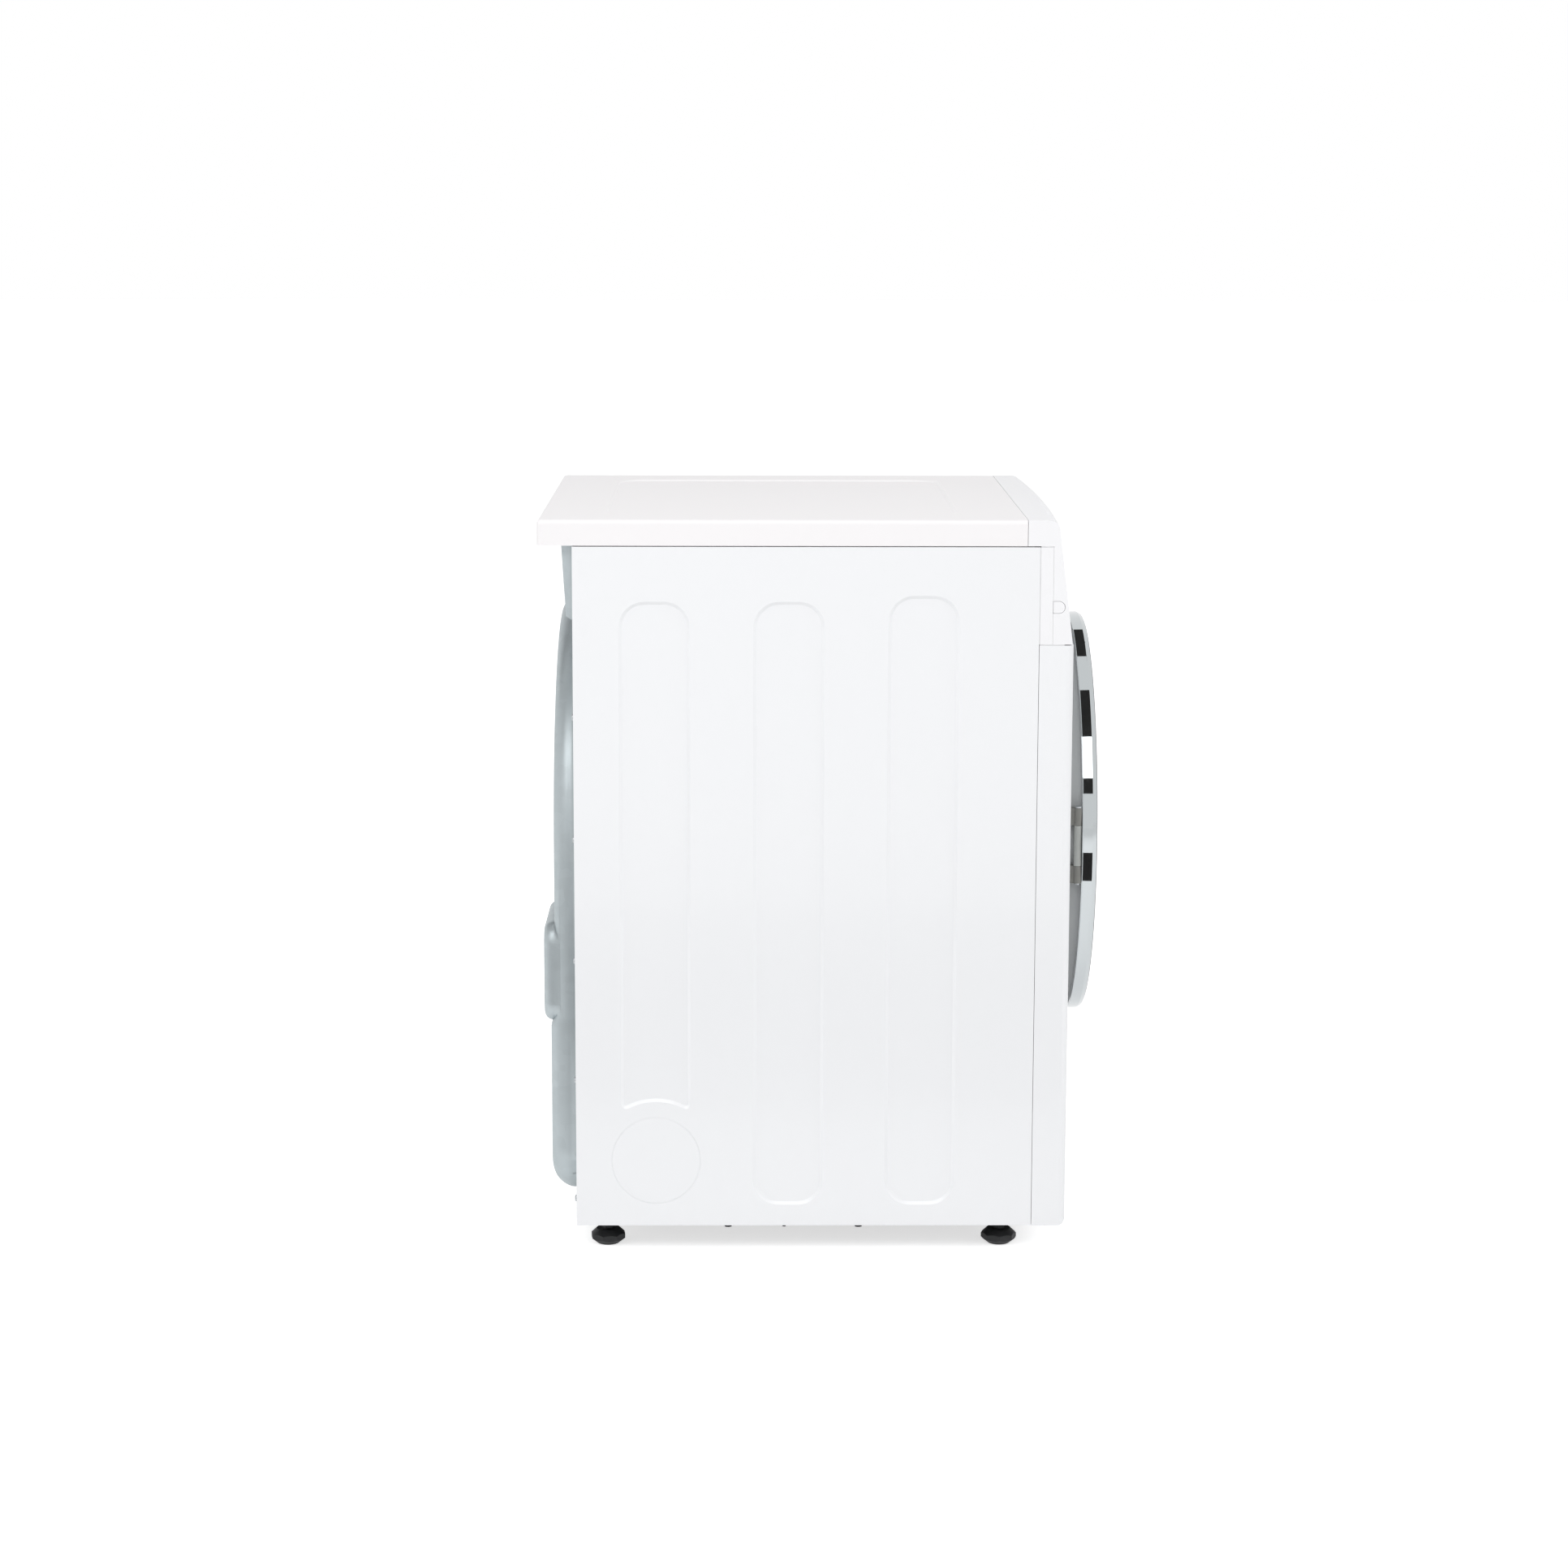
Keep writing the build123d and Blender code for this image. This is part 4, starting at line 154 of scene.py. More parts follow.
# %% Galvanised, chromed and brushed metals
def galvanised(name, dark, light, cell_mm):
    """Zinc-coated sheet with its crystal spangle."""
    material, tree, shader = surface(name, light, 0.4, Metallic=0.9)
    place = add(tree, "ShaderNodeTexCoord")
    cells = add(tree, "ShaderNodeTexVoronoi", {"Vector": place.outputs["Object"], "Scale": per_mm(cell_mm)})
    tone = add(tree, "ShaderNodeSeparateColor", {"Color": cells.outputs["Color"]})
    mix = add(tree, "ShaderNodeMix", {"Factor": tone.outputs["Red"]}, data_type="RGBA")
    mix.inputs["A"].default_value = linear(dark)
    mix.inputs["B"].default_value = linear(light)
    tree.links.new(mix.outputs["Result"], shader.inputs["Base Color"])
    gloss = add(tree, "ShaderNodeMapRange", {"Value": tone.outputs["Green"], "To Min": 0.46, "To Max": 0.52})
    tree.links.new(gloss.outputs["Result"], shader.inputs["Roughness"])
    return material


def brushed(name, colour, line_mm):
    """Steel brushed round an axis along Y: fine lines across Y only."""
    material, tree, shader = surface(name, colour, 0.3, Metallic=1.0)
    place = add(tree, "ShaderNodeTexCoord")
    stretch = add(tree, "ShaderNodeMapping",
                  {"Vector": place.outputs["Object"], "Scale": (2.0, per_mm(line_mm), 2.0)})
    noise = add(tree, "ShaderNodeTexNoise",
                {"Vector": stretch.outputs["Vector"], "Scale": 1.0, "Detail": 3.0})
    gloss = add(tree, "ShaderNodeMapRange", {"Value": noise.outputs["Fac"], "To Min": 0.22, "To Max": 0.42})
    tree.links.new(gloss.outputs["Result"], shader.inputs["Roughness"])
    return material


zinc_sheet = galvanised("galvanised_steel", "#B9C1C4", "#BDC5C8", 11.0)
chrome = surface("chromed_plastic", "#C1C6C8", 0.035, Metallic=1.0)[0]
drum_steel = brushed("brushed_drum_steel", "#C9CBCD", 0.5)
zinc_plate = grained("zinc_plated_steel", "#BFC3C6", 0.34, 1.5, 0.01, Metallic=1.0)
alloy = grained("cast_alloy", "#B4B6B8", 0.5, 1.2, 0.05, Metallic=1.0)
bronze = grained("sintered_bronze", "#9A7448", 0.45, 0.4, 0.02, Metallic=1.0)
print("metals:", zinc_sheet.name, chrome.name, drum_steel.name)

# %% [markdown]
# ## Glass, rubber and the dark plastics
#
# The door has two windows: a smoked outer disc and a clear inner bowl. Both are real transmitting
# shaders, so the bowl and the drum show faintly through the smoked disc. Everything else is a dull
# moulding, rubber or felt.

# %% Clear, dark and soft materials
smoked = surface("smoked_acrylic", "#83888C", 0.03, Transmission_Weight=1.0, IOR=1.49)[0]
glass = surface("clear_glass", "#F2F6F6", 0.01, Transmission_Weight=1.0, IOR=1.5)[0]
lens = surface("black_lens", "#0B0C0E", 0.08, Coat_Weight=0.5)[0]
grey_plastic = grained("grey_plastic", "#B9BCBD", 0.5, 0.8, 0.02)
silver = grained("silver_plastic", "#C4C7CA", 0.3, 0.5, 0.005, Metallic=0.6)
black_plastic = grained("black_plastic", "#1C1D1F", 0.55, 0.8, 0.03)
rubber = grained("black_rubber", "#1A1A1B", 0.75, 0.6, 0.03)
grey_rubber = grained("grey_rubber", "#4A4B4D", 0.7, 0.6, 0.03)
felt = grained("felt", "#DCD9D0", 0.95, 1.1, 0.5)
board = grained("board_laminate", "#1F5136", 0.45, 2.0, 0.02)
motor_paint = grained("motor_enamel", "#33363A", 0.5, 1.5, 0.03)
print("other materials:", smoked.name, glass.name, black_plastic.name)

# %% [markdown]
# ## Who wears what
#
# Each CAD node takes one material. The record's slot names are a good key, because they already group
# the nodes by what they are made of. Only the hinge leaves its group: its leaf is plain grey paint, and its
# bracket's darker grey is painted shade for its ears, which sit in shade deep in the door gap.

# %% Dress the CAD nodes
by_slot = {
    "warm_white_plastic": top_plastic, "white_enamel": enamel, "white_plastic": panel_plastic,
    "dark_lens": lens, "board_laminate": board, "silver_plastic": silver, "chrome_ring": chrome,
    "smoked_window": smoked, "grey_plastic": grey_plastic, "clear_glass": glass,
    "grey_rubber": grey_rubber, "zinc_steel": zinc_plate, "black_plastic": black_plastic,
    "drum_steel": drum_steel, "bronze": bronze, "cast_alloy": alloy, "felt": felt,
    "black_rubber": rubber, "motor_enamel": motor_paint, "galvanised_steel": zinc_sheet,
}
for part in frame["record"]["subparts"]:
    mesh = nodes[part["node"]].data
    mesh.materials.clear()
    mesh.materials.append(by_slot[part["material_slot"]])
# The bracket's darker grey is painted shade for its shaded ears; the leaf's grey is its own paint.
nodes["hinge_bracket"].data.materials[0] = grained("hinge_bracket_painted_shade", "#7E7E7A", 0.45, 1.5, 0.01)
nodes["door_hinge_leaf"].data.materials[0] = grained("grey_hinge_paint", "#ABAEAB", 0.45, 1.5, 0.01)

# %% [markdown]
# ## Turned pieces
#
# A mirror gives away every facet, so the bright ring, the window and the inner bowl are turned again here
# from their sections, with small rounded edges and 256 steps round (160 for the bowl). A section is a list
# of corners (radius, distance in front of the ring's back, rounding), all in millimetres.

# %% Helpers for turned pieces
RING_LOW, RING_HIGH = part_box("door_ring")
RING_BACK = RING_HIGH[1]
RING_LEVEL = (RING_LOW[2] + RING_HIGH[2]) / 2
RING_RADIUS = (RING_HIGH[0] - RING_LOW[0]) * 500
SHARP_EDGE = math.radians(28)


def rounded(corners, steps=5):
    """Replaces each corner that has a rounding by a short arc."""
    points = []
    for number, (r, d, size) in enumerate(corners):
        here = Vector((r, d))
        before = Vector(corners[number - 1][:2]) - here
        after = Vector(corners[(number + 1) % len(corners)][:2]) - here
        if size == 0:
            points.append(here)
            continue
        half = before.angle(after) / 2
        reach = size / math.tan(half)
        middle = (before.normalized() + after.normalized()).normalized() * (size / math.sin(half))
        start = before.normalized() * reach - middle
        end = after.normalized() * reach - middle
        for step in range(steps + 1):
            points.append(here + middle + start.slerp(end, step / steps).normalized() * size)
    return points


def made(work, name, material, body=None, node=None):
    """Turns a bmesh into a smooth piece; it may ride a body and stand for a CAD node."""
    bmesh.ops.recalc_face_normals(work, faces=work.faces)
    mesh = bpy.data.meshes.new(name)
    work.to_mesh(mesh)
    work.free()
    mesh.materials.append(material)
    mesh.shade_smooth()
    mesh.set_sharp_from_angle(angle=SHARP_EDGE)
    piece = bpy.data.objects.new(name, mesh)
    bpy.context.scene.collection.objects.link(piece)
    if body:
        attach(piece, body)
    if node:
        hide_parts(node)
    return piece


def lathe(name, corners, material, body, node, turns=256):
    """Turns a closed section about the door's axis."""
    section = rounded(corners)
    work = bmesh.new()
    rows = []
    for r, d in section:
        level = RING_BACK - d / 1000
        row = []
        for turn in range(turns if r > 0 else 1):
            angle = 2 * math.pi * turn / turns
            across = r / 1000 * math.cos(angle)
            up = RING_LEVEL + r / 1000 * math.sin(angle)
            row.append(work.verts.new((across, level, up)))
        rows.append(row)
    for number, row in enumerate(rows):
        other = rows[number - 1]
        if len(row) == len(other) == 1:
            continue
        for turn in range(turns):
            after = (turn + 1) % turns
            ring = [row[turn % len(row)], row[after % len(row)],
                    other[after % len(other)], other[turn % len(other)]]
            work.faces.new(list(dict.fromkeys(ring)))
    return made(work, name, material, body, node)


# %% Door ring
ring_face = RING_RADIUS - 0.7
ring_front = (RING_BACK - RING_LOW[1]) * 1000
WINDOW = RING_RADIUS - 5.5
ring = lathe("bright_ring", [
    (RING_RADIUS, 0, 0.3), (RING_RADIUS, 0.6, 0.2), (ring_face, 1.2, 0.2), (ring_face, 12.2, 0.5),
    (ring_face - 2.5, ring_front, 1.2), (WINDOW + 0.3, ring_front, 0.3), (WINDOW + 0.3, 14.2, 0),
    (WINDOW - 9.7, 14.2, 0), (WINDOW - 9.7, 12.2, 0), (ring_face - 4.5, 12.2, 0), (ring_face - 2.0, 9.7, 0),
    (ring_face - 2.0, 0, 0.3),
], chrome, "door", "door_ring")
print("ring:", len(ring.data.polygons), "faces")

# %% [markdown]
# ## Window and bowl
#
# The window is a shallow crowned disc in a thin black gasket. The bowl is a deep dish with a flat land that
# the liner holds. Where a section meets the axis its row shrinks to one point, so glass stays a closed
# solid and light bends through it correctly.

# %% Door window and inner bowl
window = lathe("crowned_window", [
    (0, 14.5, 0), (WINDOW, 14.5, 0.3), (WINDOW, 17.5, 0.3), (WINDOW - 3.0, 17.75, 3.0),
    (WINDOW - 80.0, 17.95, 0), (0, 18.0, 0),
], smoked, "door", "door_window")
gasket = lathe("window_gasket", [
    (WINDOW + 0.04, 14.3, 0), (WINDOW + 0.26, 14.3, 0), (WINDOW + 0.26, 17.8, 0.1),
    (WINDOW + 0.04, 17.9, 0.1),
], rubber, "door", None)
BOWL_LOW, BOWL_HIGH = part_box("door_bowl")
land = (BOWL_HIGH[0] - BOWL_LOW[0]) * 500
front = (RING_BACK - BOWL_LOW[1]) * 1000
end = (RING_BACK - BOWL_HIGH[1]) * 1000
bowl = lathe("glass_bowl", [
    (land, front, 0.5), (land, front - 4.0, 0.5), (170.0, front - 4.0, 1.0), (170.0, front - 6.5, 1.0),
    (150.0, end, 16.0), (0, end, 0), (0, end + 4.0, 0), (146.0, end + 4.0, 12.0), (166.0, front - 6.5, 1.0),
    (166.0, front, 0.5),
], glass, "door", "door_bowl", turns=160)
for piece in (window, gasket, bowl):
    print(piece.name, len(piece.data.polygons), "faces")

# %% [markdown]
# ## Spring of the belt tensioner
#
# The CAD keeps a plain post where the spring goes. A spring is a wire on a helix, so its centre line is
# computed point by point: a straight tail, close turns, and a tail again. A ring of corners then follows
# that line. Carrying the ring's own direction along from point to point keeps the wire from twisting.

# %% Idler spring
def wire(name, path, radius, material, node=None, sides=8):
    """A round wire along a path, closed at both ends."""
    work = bmesh.new()
    rows = []
    side = Vector((1, 0, 0))
    for number, point in enumerate(path):
        along = path[min(number + 1, len(path) - 1)] - path[max(number - 1, 0)]
        along.normalize()
        side = (side - along * side.dot(along)).normalized()
        other = along.cross(side)
        turns = [2 * math.pi * k / sides for k in range(sides)]
        spokes = [math.cos(t) * side + math.sin(t) * other for t in turns]
        rows.append([work.verts.new(point + radius * spoke) for spoke in spokes])
    for row, follow in zip(rows, rows[1:]):
        for k in range(sides):
            work.faces.new((row[k], row[(k + 1) % sides], follow[(k + 1) % sides], follow[k]))
    work.faces.new(rows[0])
    work.faces.new(rows[-1])
    return made(work, name, material, node=node)


def spring_path(low, high, wire_radius):
    """Centre line of a close-wound spring that fills the box from low to high."""
    middle = (Vector(low) + Vector(high)) / 2
    coil = (high[0] - low[0]) / 2 - wire_radius
    length = high[2] - low[2]
    tail = 0.16 * length
    turns = round((length - 2 * tail) / (2.3 * wire_radius))
    points = [Vector((middle.x, middle.y, low[2]))]
    for step in range(turns * TURN_STEPS + 1):
        turn = step / TURN_STEPS
        reach = coil * min(1.0, turn, turns - turn)
        angle = 2 * math.pi * turn
        height = low[2] + tail + turn / turns * (length - 2 * tail)
        spoke = Vector((reach * math.cos(angle), reach * math.sin(angle)))
        points.append(Vector((middle.x + spoke.x, middle.y + spoke.y, height)))
    points.append(Vector((middle.x, middle.y, high[2])))
    return points


WIRE_RADIUS, TURN_STEPS = 0.0007, 16
spring_low, spring_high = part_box("idler_spring")
coils = spring_path(spring_low, spring_high, WIRE_RADIUS)
spring = wire("wound_spring", coils, WIRE_RADIUS, zinc_plate, "idler_spring")
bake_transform(spring)
print("spring:", len(spring.data.polygons), "faces")

# %% [markdown]
# ## Seams beside the control panel
#
# The joints round the control panel's frame look pale in the photograph, not black, so each is closed here
# by a thin foam cord just under the surface. A cord is a straight wire in the middle of its joint, a
# little thinner than the joint is wide, and it stops at the snap tab. The list gives each cord's two ends
# as (Y, Z) in metres and its radius in millimetres.

# %% Foam cords in the seams
foam = grained("white_foam", "#F4F4F5", 0.9, 0.3, 0.05)
SIDE_LOW, SIDE_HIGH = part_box("left_side_panel")
FRAME_LOW, FRAME_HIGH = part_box("control_carrier")
front_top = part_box("front_panel")[1][2]
rear_seam = (SIDE_LOW[1] + FRAME_HIGH[1]) / 2
low_seam = (FRAME_LOW[2] + front_top) / 2
FACE_DEPTH, TAB_FROM, TAB_TO, TOP_JOINT = 0.01425, 0.0349, 0.0491, 0.0006
face_seam = FRAME_HIGH[1] - FACE_DEPTH
top_seam = FRAME_HIGH[2] + TOP_JOINT
tab_low, tab_high = FRAME_LOW[2] + TAB_FROM, FRAME_LOW[2] + TAB_TO
SUNK = 0.0001
seams = [
    ("rear", (rear_seam, FRAME_LOW[2]), (rear_seam, FRAME_HIGH[2]), 0.45),
    ("low", (FRAME_LOW[1], low_seam), (FRAME_HIGH[1], low_seam), 0.42),
    ("face_low", (face_seam, FRAME_LOW[2]), (face_seam, tab_low), 0.21),
    ("face_high", (face_seam, tab_high), (face_seam, FRAME_HIGH[2]), 0.21),
    ("top", (face_seam, top_seam), (FRAME_HIGH[1], top_seam), 0.5),
]
for name, start, end, radius in seams:
    for side, skin in (("left", SIDE_LOW[0]), ("right", -SIDE_LOW[0])):
        x = skin - math.copysign(radius / 1000 + SUNK, skin)
        cord = wire(f"{side}_{name}_seam_cord", [Vector((x, *start)), Vector((x, *end))], radius / 1000, foam)
        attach(cord, "cabinet")
print("seam cords:", 2 * len(seams))

# %% [markdown]
# ## Duct knock-out
#
# The round knock-out in the left side is scored, so it can be broken out for a side exhaust. In the
# photograph its upper edge shows as a fine dark line, as if the disc lay a little deeper than the sheet
# there. A thin ramp ring in the CAD's score gives that: deep at its outer edge, level at its inner one.

# %% Ramp in the knock-out's score
KNOCKOUT_Y, KNOCKOUT_Z = SIDE_HIGH[1] - 0.0915, SIDE_LOW[2] + 0.077
SCORE_OUTER, SCORE_INNER, SCORE_DEPTH, SCORE_LEVEL = 0.05148, 0.05012, 0.00049, 0.00004
SCORE_STEPS = 144
work = bmesh.new()
rows = []
for radius, depth in ((SCORE_OUTER, SCORE_DEPTH), (SCORE_INNER, SCORE_LEVEL), (SCORE_INNER, SCORE_DEPTH)):
    turns = [math.tau * i / SCORE_STEPS for i in range(SCORE_STEPS)]
    rows.append([work.verts.new((SIDE_LOW[0] + depth, KNOCKOUT_Y + radius * math.cos(t),
                                 KNOCKOUT_Z + radius * math.sin(t))) for t in turns])
for first, second in zip(rows, rows[1:] + rows[:1]):
    for i in range(SCORE_STEPS):
        j = (i + 1) % SCORE_STEPS
        work.faces.new((first[i], first[j], second[j], second[i]))
score = made(work, "knockout_ramp", enamel, "cabinet")
print("knock-out ramp:", len(score.data.polygons), "faces")

# %% [markdown]
# ## Rear cover
#
# The CAD's rear cover has one depth and a short bump. In the photograph the bump reaches a little lower,
# and the leg below it stands out further and ends nearer the floor. The CAD's own corner points are copied
# and moved: the bump's lower end and the leg's foot go down, and the leg below the bump goes out. Flat
# sheet has no points between its edges, so it is first cut at the levels where it has to bend.

# %% Rear cover with its longer leg
def fade(value, start, end):
    """0 before start, 1 after end, smooth between; start may be the larger one."""
    share = min(1.0, max(0.0, (value - start) / (end - start)))
    return share * share * (3 - 2 * share)


COVER_LOW, COVER_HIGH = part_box("rear_duct_cover")
BUMP_STEP, BUMP_FOOT, BUMP_CORNER, BUMP_LONGER = 0.012, 0.275, 0.024, 0.015
BUMP_LEFT, BUMP_RIGHT = -0.254, -0.096
LEG_OUT, LEG_LONGER, LEG_BEND, LEG_ROUNDING = 0.0045, 0.011, 0.122, 0.045
BEND_CUTS = [0.269, 0.265, 0.261, 0.258, 0.255]
FOOT_CUTS = [0.067 + 0.0052 * i for i in range(9)]
FLAT = COVER_HIGH[1] - BUMP_STEP


def formed(x, y, z):
    """Where a point of the CAD's cover goes on the formed one."""
    proud = y - COVER_LOW[1]
    in_width = BUMP_LEFT - 0.0005 < x < BUMP_RIGHT + 0.0005
    if in_width and BUMP_FOOT - 0.0005 < z < BUMP_FOOT + BUMP_CORNER + 0.0005 and proud > 0.015:
        return x, y, z - BUMP_LONGER
    out = LEG_OUT * fade(y, COVER_LOW[1] + 0.002, FLAT) * fade(z, BUMP_FOOT - 0.006, BUMP_FOOT - 0.02)
    short = min(1.0, max(0.0, (COVER_LOW[2] + 0.008 + LEG_ROUNDING - z) / LEG_ROUNDING))
    out -= max(0.0, proud - 0.002) * (1 - math.sqrt(1 - 0.8 * short * short))
    return x, y + out, z - LEG_LONGER * fade(z, LEG_BEND + 0.05, LEG_BEND)


work = bmesh.new()
work.from_mesh(nodes["rear_duct_cover"].data)
work.transform(nodes["rear_duct_cover"].matrix_world)
bmesh.ops.remove_doubles(work, verts=work.verts, dist=1e-6)
for level in BEND_CUTS + FOOT_CUTS:
    bmesh.ops.bisect_plane(work, geom=work.verts[:] + work.edges[:] + work.faces[:],
                           plane_co=(0, 0, level), plane_no=(0, 0, 1))
for vert in work.verts:
    vert.co = formed(*vert.co)
cover = made(work, "formed_rear_cover", zinc_sheet, "cabinet", "rear_duct_cover")
flatten = cover.modifiers.new("flat_faces_lead", "WEIGHTED_NORMAL")
flatten.weight, flatten.keep_sharp = 90, True
print("cover:", len(cover.data.polygons), "faces")

# %% [markdown]
# ## Filter gauze
#
# The lint filter is a frame; its gauze is a thin woven sheet that lies in the frame's middle. Two sets of
# threads make the weave: a wave along X and one along Z, each less than a millimetre apart. Between the
# threads the material is clear, so the duct shows through.

# %% Gauze in the lint filter
def woven(name, colour, pitch_mm):
    """Gauze: opaque threads both ways, open between them."""
    material, tree, shader = surface(name, colour, 0.6)
    place = add(tree, "ShaderNodeTexCoord")
    axes = add(tree, "ShaderNodeSeparateXYZ", {"Vector": place.outputs["Object"]})
    threads = []
    for axis in ("X", "Z"):
        turn = compute(tree, "MULTIPLY", axes.outputs[axis], per_mm(pitch_mm) * math.pi)
        height = compute(tree, "ABSOLUTE", compute(tree, "SINE", turn))
        threads.append(compute(tree, "LESS_THAN", height, THREAD_WIDTH))
    tree.links.new(compute(tree, "MAXIMUM", *threads), shader.inputs["Alpha"])
    return material


THREAD_WIDTH = 0.45
EDGE, HALF_SHEET, SLACK = 0.003, 0.00015, 0.0006
ACROSS, UP = 12, 8
FILTER_LOW, FILTER_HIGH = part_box("lint_filter")
gauze_width = FILTER_HIGH[0] - FILTER_LOW[0] - 2 * EDGE
gauze_top = min(FILTER_HIGH[2], FILTER_LOW[2] + 0.170)
gauze_middle = (FILTER_LOW[1] + FILTER_HIGH[1]) / 2
work = bmesh.new()
layers = []
for side in (-HALF_SHEET, HALF_SHEET):
    rows = []
    for row in range(UP + 1):
        level = FILTER_LOW[2] + EDGE + (gauze_top - EDGE - FILTER_LOW[2]) * row / UP
        sag = SLACK * math.sin(math.pi * row / UP)
        spots = [column / ACROSS - 0.5 for column in range(ACROSS + 1)]
        depths = [gauze_middle + side + sag * math.cos(4 * math.pi * s) for s in spots]
        rows.append([work.verts.new((s * gauze_width, d, level)) for s, d in zip(spots, depths)])
    layers.append(rows)
for rows in layers:
    for low_row, high_row in zip(rows, rows[1:]):
        for c in range(ACROSS):
            work.faces.new((low_row[c], low_row[c + 1], high_row[c + 1], high_row[c]))
rim = [(0, c) for c in range(ACROSS)] + [(r, ACROSS) for r in range(UP)]
rim += [(UP, c) for c in range(ACROSS, 0, -1)] + [(r, 0) for r in range(UP, 0, -1)]
for (r0, c0), (r1, c1) in zip(rim, rim[1:] + rim[:1]):
    work.faces.new((layers[0][r0][c0], layers[0][r1][c1], layers[1][r1][c1], layers[1][r0][c0]))
gauze = made(work, "filter_gauze", woven("filter_gauze", "#E4E5E2", 0.9), "cabinet")
print("gauze:", [round(v * 1000) for v in gauze.dimensions], "mm")

# %% [markdown]
# ## Screw heads
#
# The CAD's screw heads are plain discs. Each is read back from its corners and turned again as a low dome.
# The cross recess is not cut into the dome: the material paints it as a dark cross, painted shade for the
# hollow, from a UV map that measures across the head, so one material serves all of them.

# %% Screw heads with a cross recess painted as shade
def with_painted_recess_shade(name, colour):
    """Plated steel with a dark cross painted where the driver goes, as painted shade for the recess."""
    material, tree, shader = surface(name, colour, 0.32, Metallic=1.0)
    place = add(tree, "ShaderNodeUVMap", uv_map="across")
    axes = add(tree, "ShaderNodeSeparateXYZ", {"Vector": place.outputs["UV"]})
    bars = []
    for wide, narrow in (("X", "Y"), ("Y", "X")):
        long = compute(tree, "LESS_THAN", compute(tree, "ABSOLUTE", axes.outputs[wide]), BAR_LENGTH)
        thin = compute(tree, "LESS_THAN", compute(tree, "ABSOLUTE", axes.outputs[narrow]), BAR_WIDTH)
        bars.append(compute(tree, "MULTIPLY", long, thin))
    mix = add(tree, "ShaderNodeMix", {"Factor": compute(tree, "MAXIMUM", *bars)}, data_type="RGBA")
    mix.inputs["A"].default_value = linear(colour)
    # The cross's dark grey is painted shade for the driver recess, which the dome does not have.
    mix.inputs["B"].default_value = linear("#3A3C3E")
    tree.links.new(mix.outputs["Result"], shader.inputs["Base Color"])
    return material


def head_boxes(node):
    """Corner points of each screw head in a CAD node, gathered by nearness."""
    groups = []
    for vert in nodes[node].data.vertices:
        point = nodes[node].matrix_world @ vert.co
        near = [g for g in groups if (g[0] - point).length < HEAD_APART]
        if near:
            near[0].append(point)
        else:
            groups.append([point])
    return groups


BAR_LENGTH, BAR_WIDTH, HEAD_APART, HEAD_STEPS = 0.62, 0.15, 0.015, 24
DOME = [(0.0, 1.0), (0.45, 0.98), (0.75, 0.88), (0.93, 0.66), (1.0, 0.35), (1.0, 0.0), (0.0, 0.0)]
work = bmesh.new()
across = work.loops.layers.uv.new("across")
for number, points in enumerate(head_boxes("rear_screws")):
    low = Vector([min(p[a] for p in points) for a in range(3)])
    high = Vector([max(p[a] for p in points) for a in range(3)])
    centre, radius = (low + high) / 2, (high.x - low.x) / 2
    rows = []
    for share, rise in DOME:
        spots = [2 * math.pi * k / HEAD_STEPS for k in range(HEAD_STEPS if share else 1)]
        rows.append([work.verts.new((centre.x + share * radius * math.cos(t), low.y + rise * (high.y - low.y),
                                     centre.z + share * radius * math.sin(t))) for t in spots])
    for row, follow in zip(rows, rows[1:]):
        for k in range(HEAD_STEPS):
            ring = [row[k % len(row)], row[(k + 1) % len(row)],
                    follow[(k + 1) % len(follow)], follow[k % len(follow)]]
            face = work.faces.new(list(dict.fromkeys(ring)))
            for loop in face.loops:
                flat = Vector(((loop.vert.co.x - centre.x) / radius, (loop.vert.co.z - centre.z) / radius))
                flat.rotate(Matrix.Rotation(0.7 * number, 2))
                loop[across].uv = flat
screws = made(work, "screw_heads", with_painted_recess_shade("plated_screw_recess_shade", "#BFC3C6"), "cabinet", "rear_screws")
print("screws:", number + 1, "heads,", len(screws.data.polygons), "faces")

# %% [markdown]
# ## Camera
#
# The photograph was taken from about four metres away with a long lens, a little above the machine and
# almost square to its left side. Distance, height and the small turns were fitted to the cabinet's
# corners, so the perspective of the top and of the front edge agrees.

# %% Camera
CAMERA_PLACE = Vector((-4.26217, 0.08186, 1.22980))
CAMERA_YAW, CAMERA_PITCH, CAMERA_ROLL = 0.0100, 0.1703, 0.0024
ahead = Vector((math.cos(CAMERA_PITCH) * math.cos(CAMERA_YAW),
                -math.cos(CAMERA_PITCH) * math.sin(CAMERA_YAW), -math.sin(CAMERA_PITCH)))
right = ahead.cross(Vector((0, 0, 1))).normalized()
up = right.cross(ahead)
cos_roll, sin_roll = math.cos(CAMERA_ROLL), math.sin(CAMERA_ROLL)
across = cos_roll * right + sin_roll * up
upright = -sin_roll * right + cos_roll * up
camera = bpy.data.objects.new("camera", bpy.data.cameras.new("camera"))
bpy.context.scene.collection.objects.link(camera)
camera.matrix_world = Matrix((across, upright, -ahead)).transposed().to_4x4()
camera.location = CAMERA_PLACE
camera.data.sensor_width = 36.0
camera.data.lens = 81.97
bpy.context.scene.camera = camera
print("camera at", [round(v, 3) for v in CAMERA_PLACE])

# %% [markdown]
# ## Floor and light
#
# The machine stands in a white studio. A big floor keeps a soft shadow under the feet. A high lamp on the
# left gives the gentle fall from the bright top of the side panel to its greyer foot, and a weak one
# overhead lights the top. Two fills, in front and behind, reach the flanks of the ribs, which a lamp square
# to the side would leave too dark. Three of the lamps are hidden from mirrors, so the chrome stays calm.

# %% Floor and lamps
def sheet_object(name, corners, material):
    """One flat four-cornered piece of scenery."""
    mesh = bpy.data.meshes.new(name)
    mesh.from_pydata(corners, [], [tuple(range(len(corners)))])
    mesh.materials.append(material)
    piece = bpy.data.objects.new(name, mesh)
    bpy.context.scene.collection.objects.link(piece)
    return piece


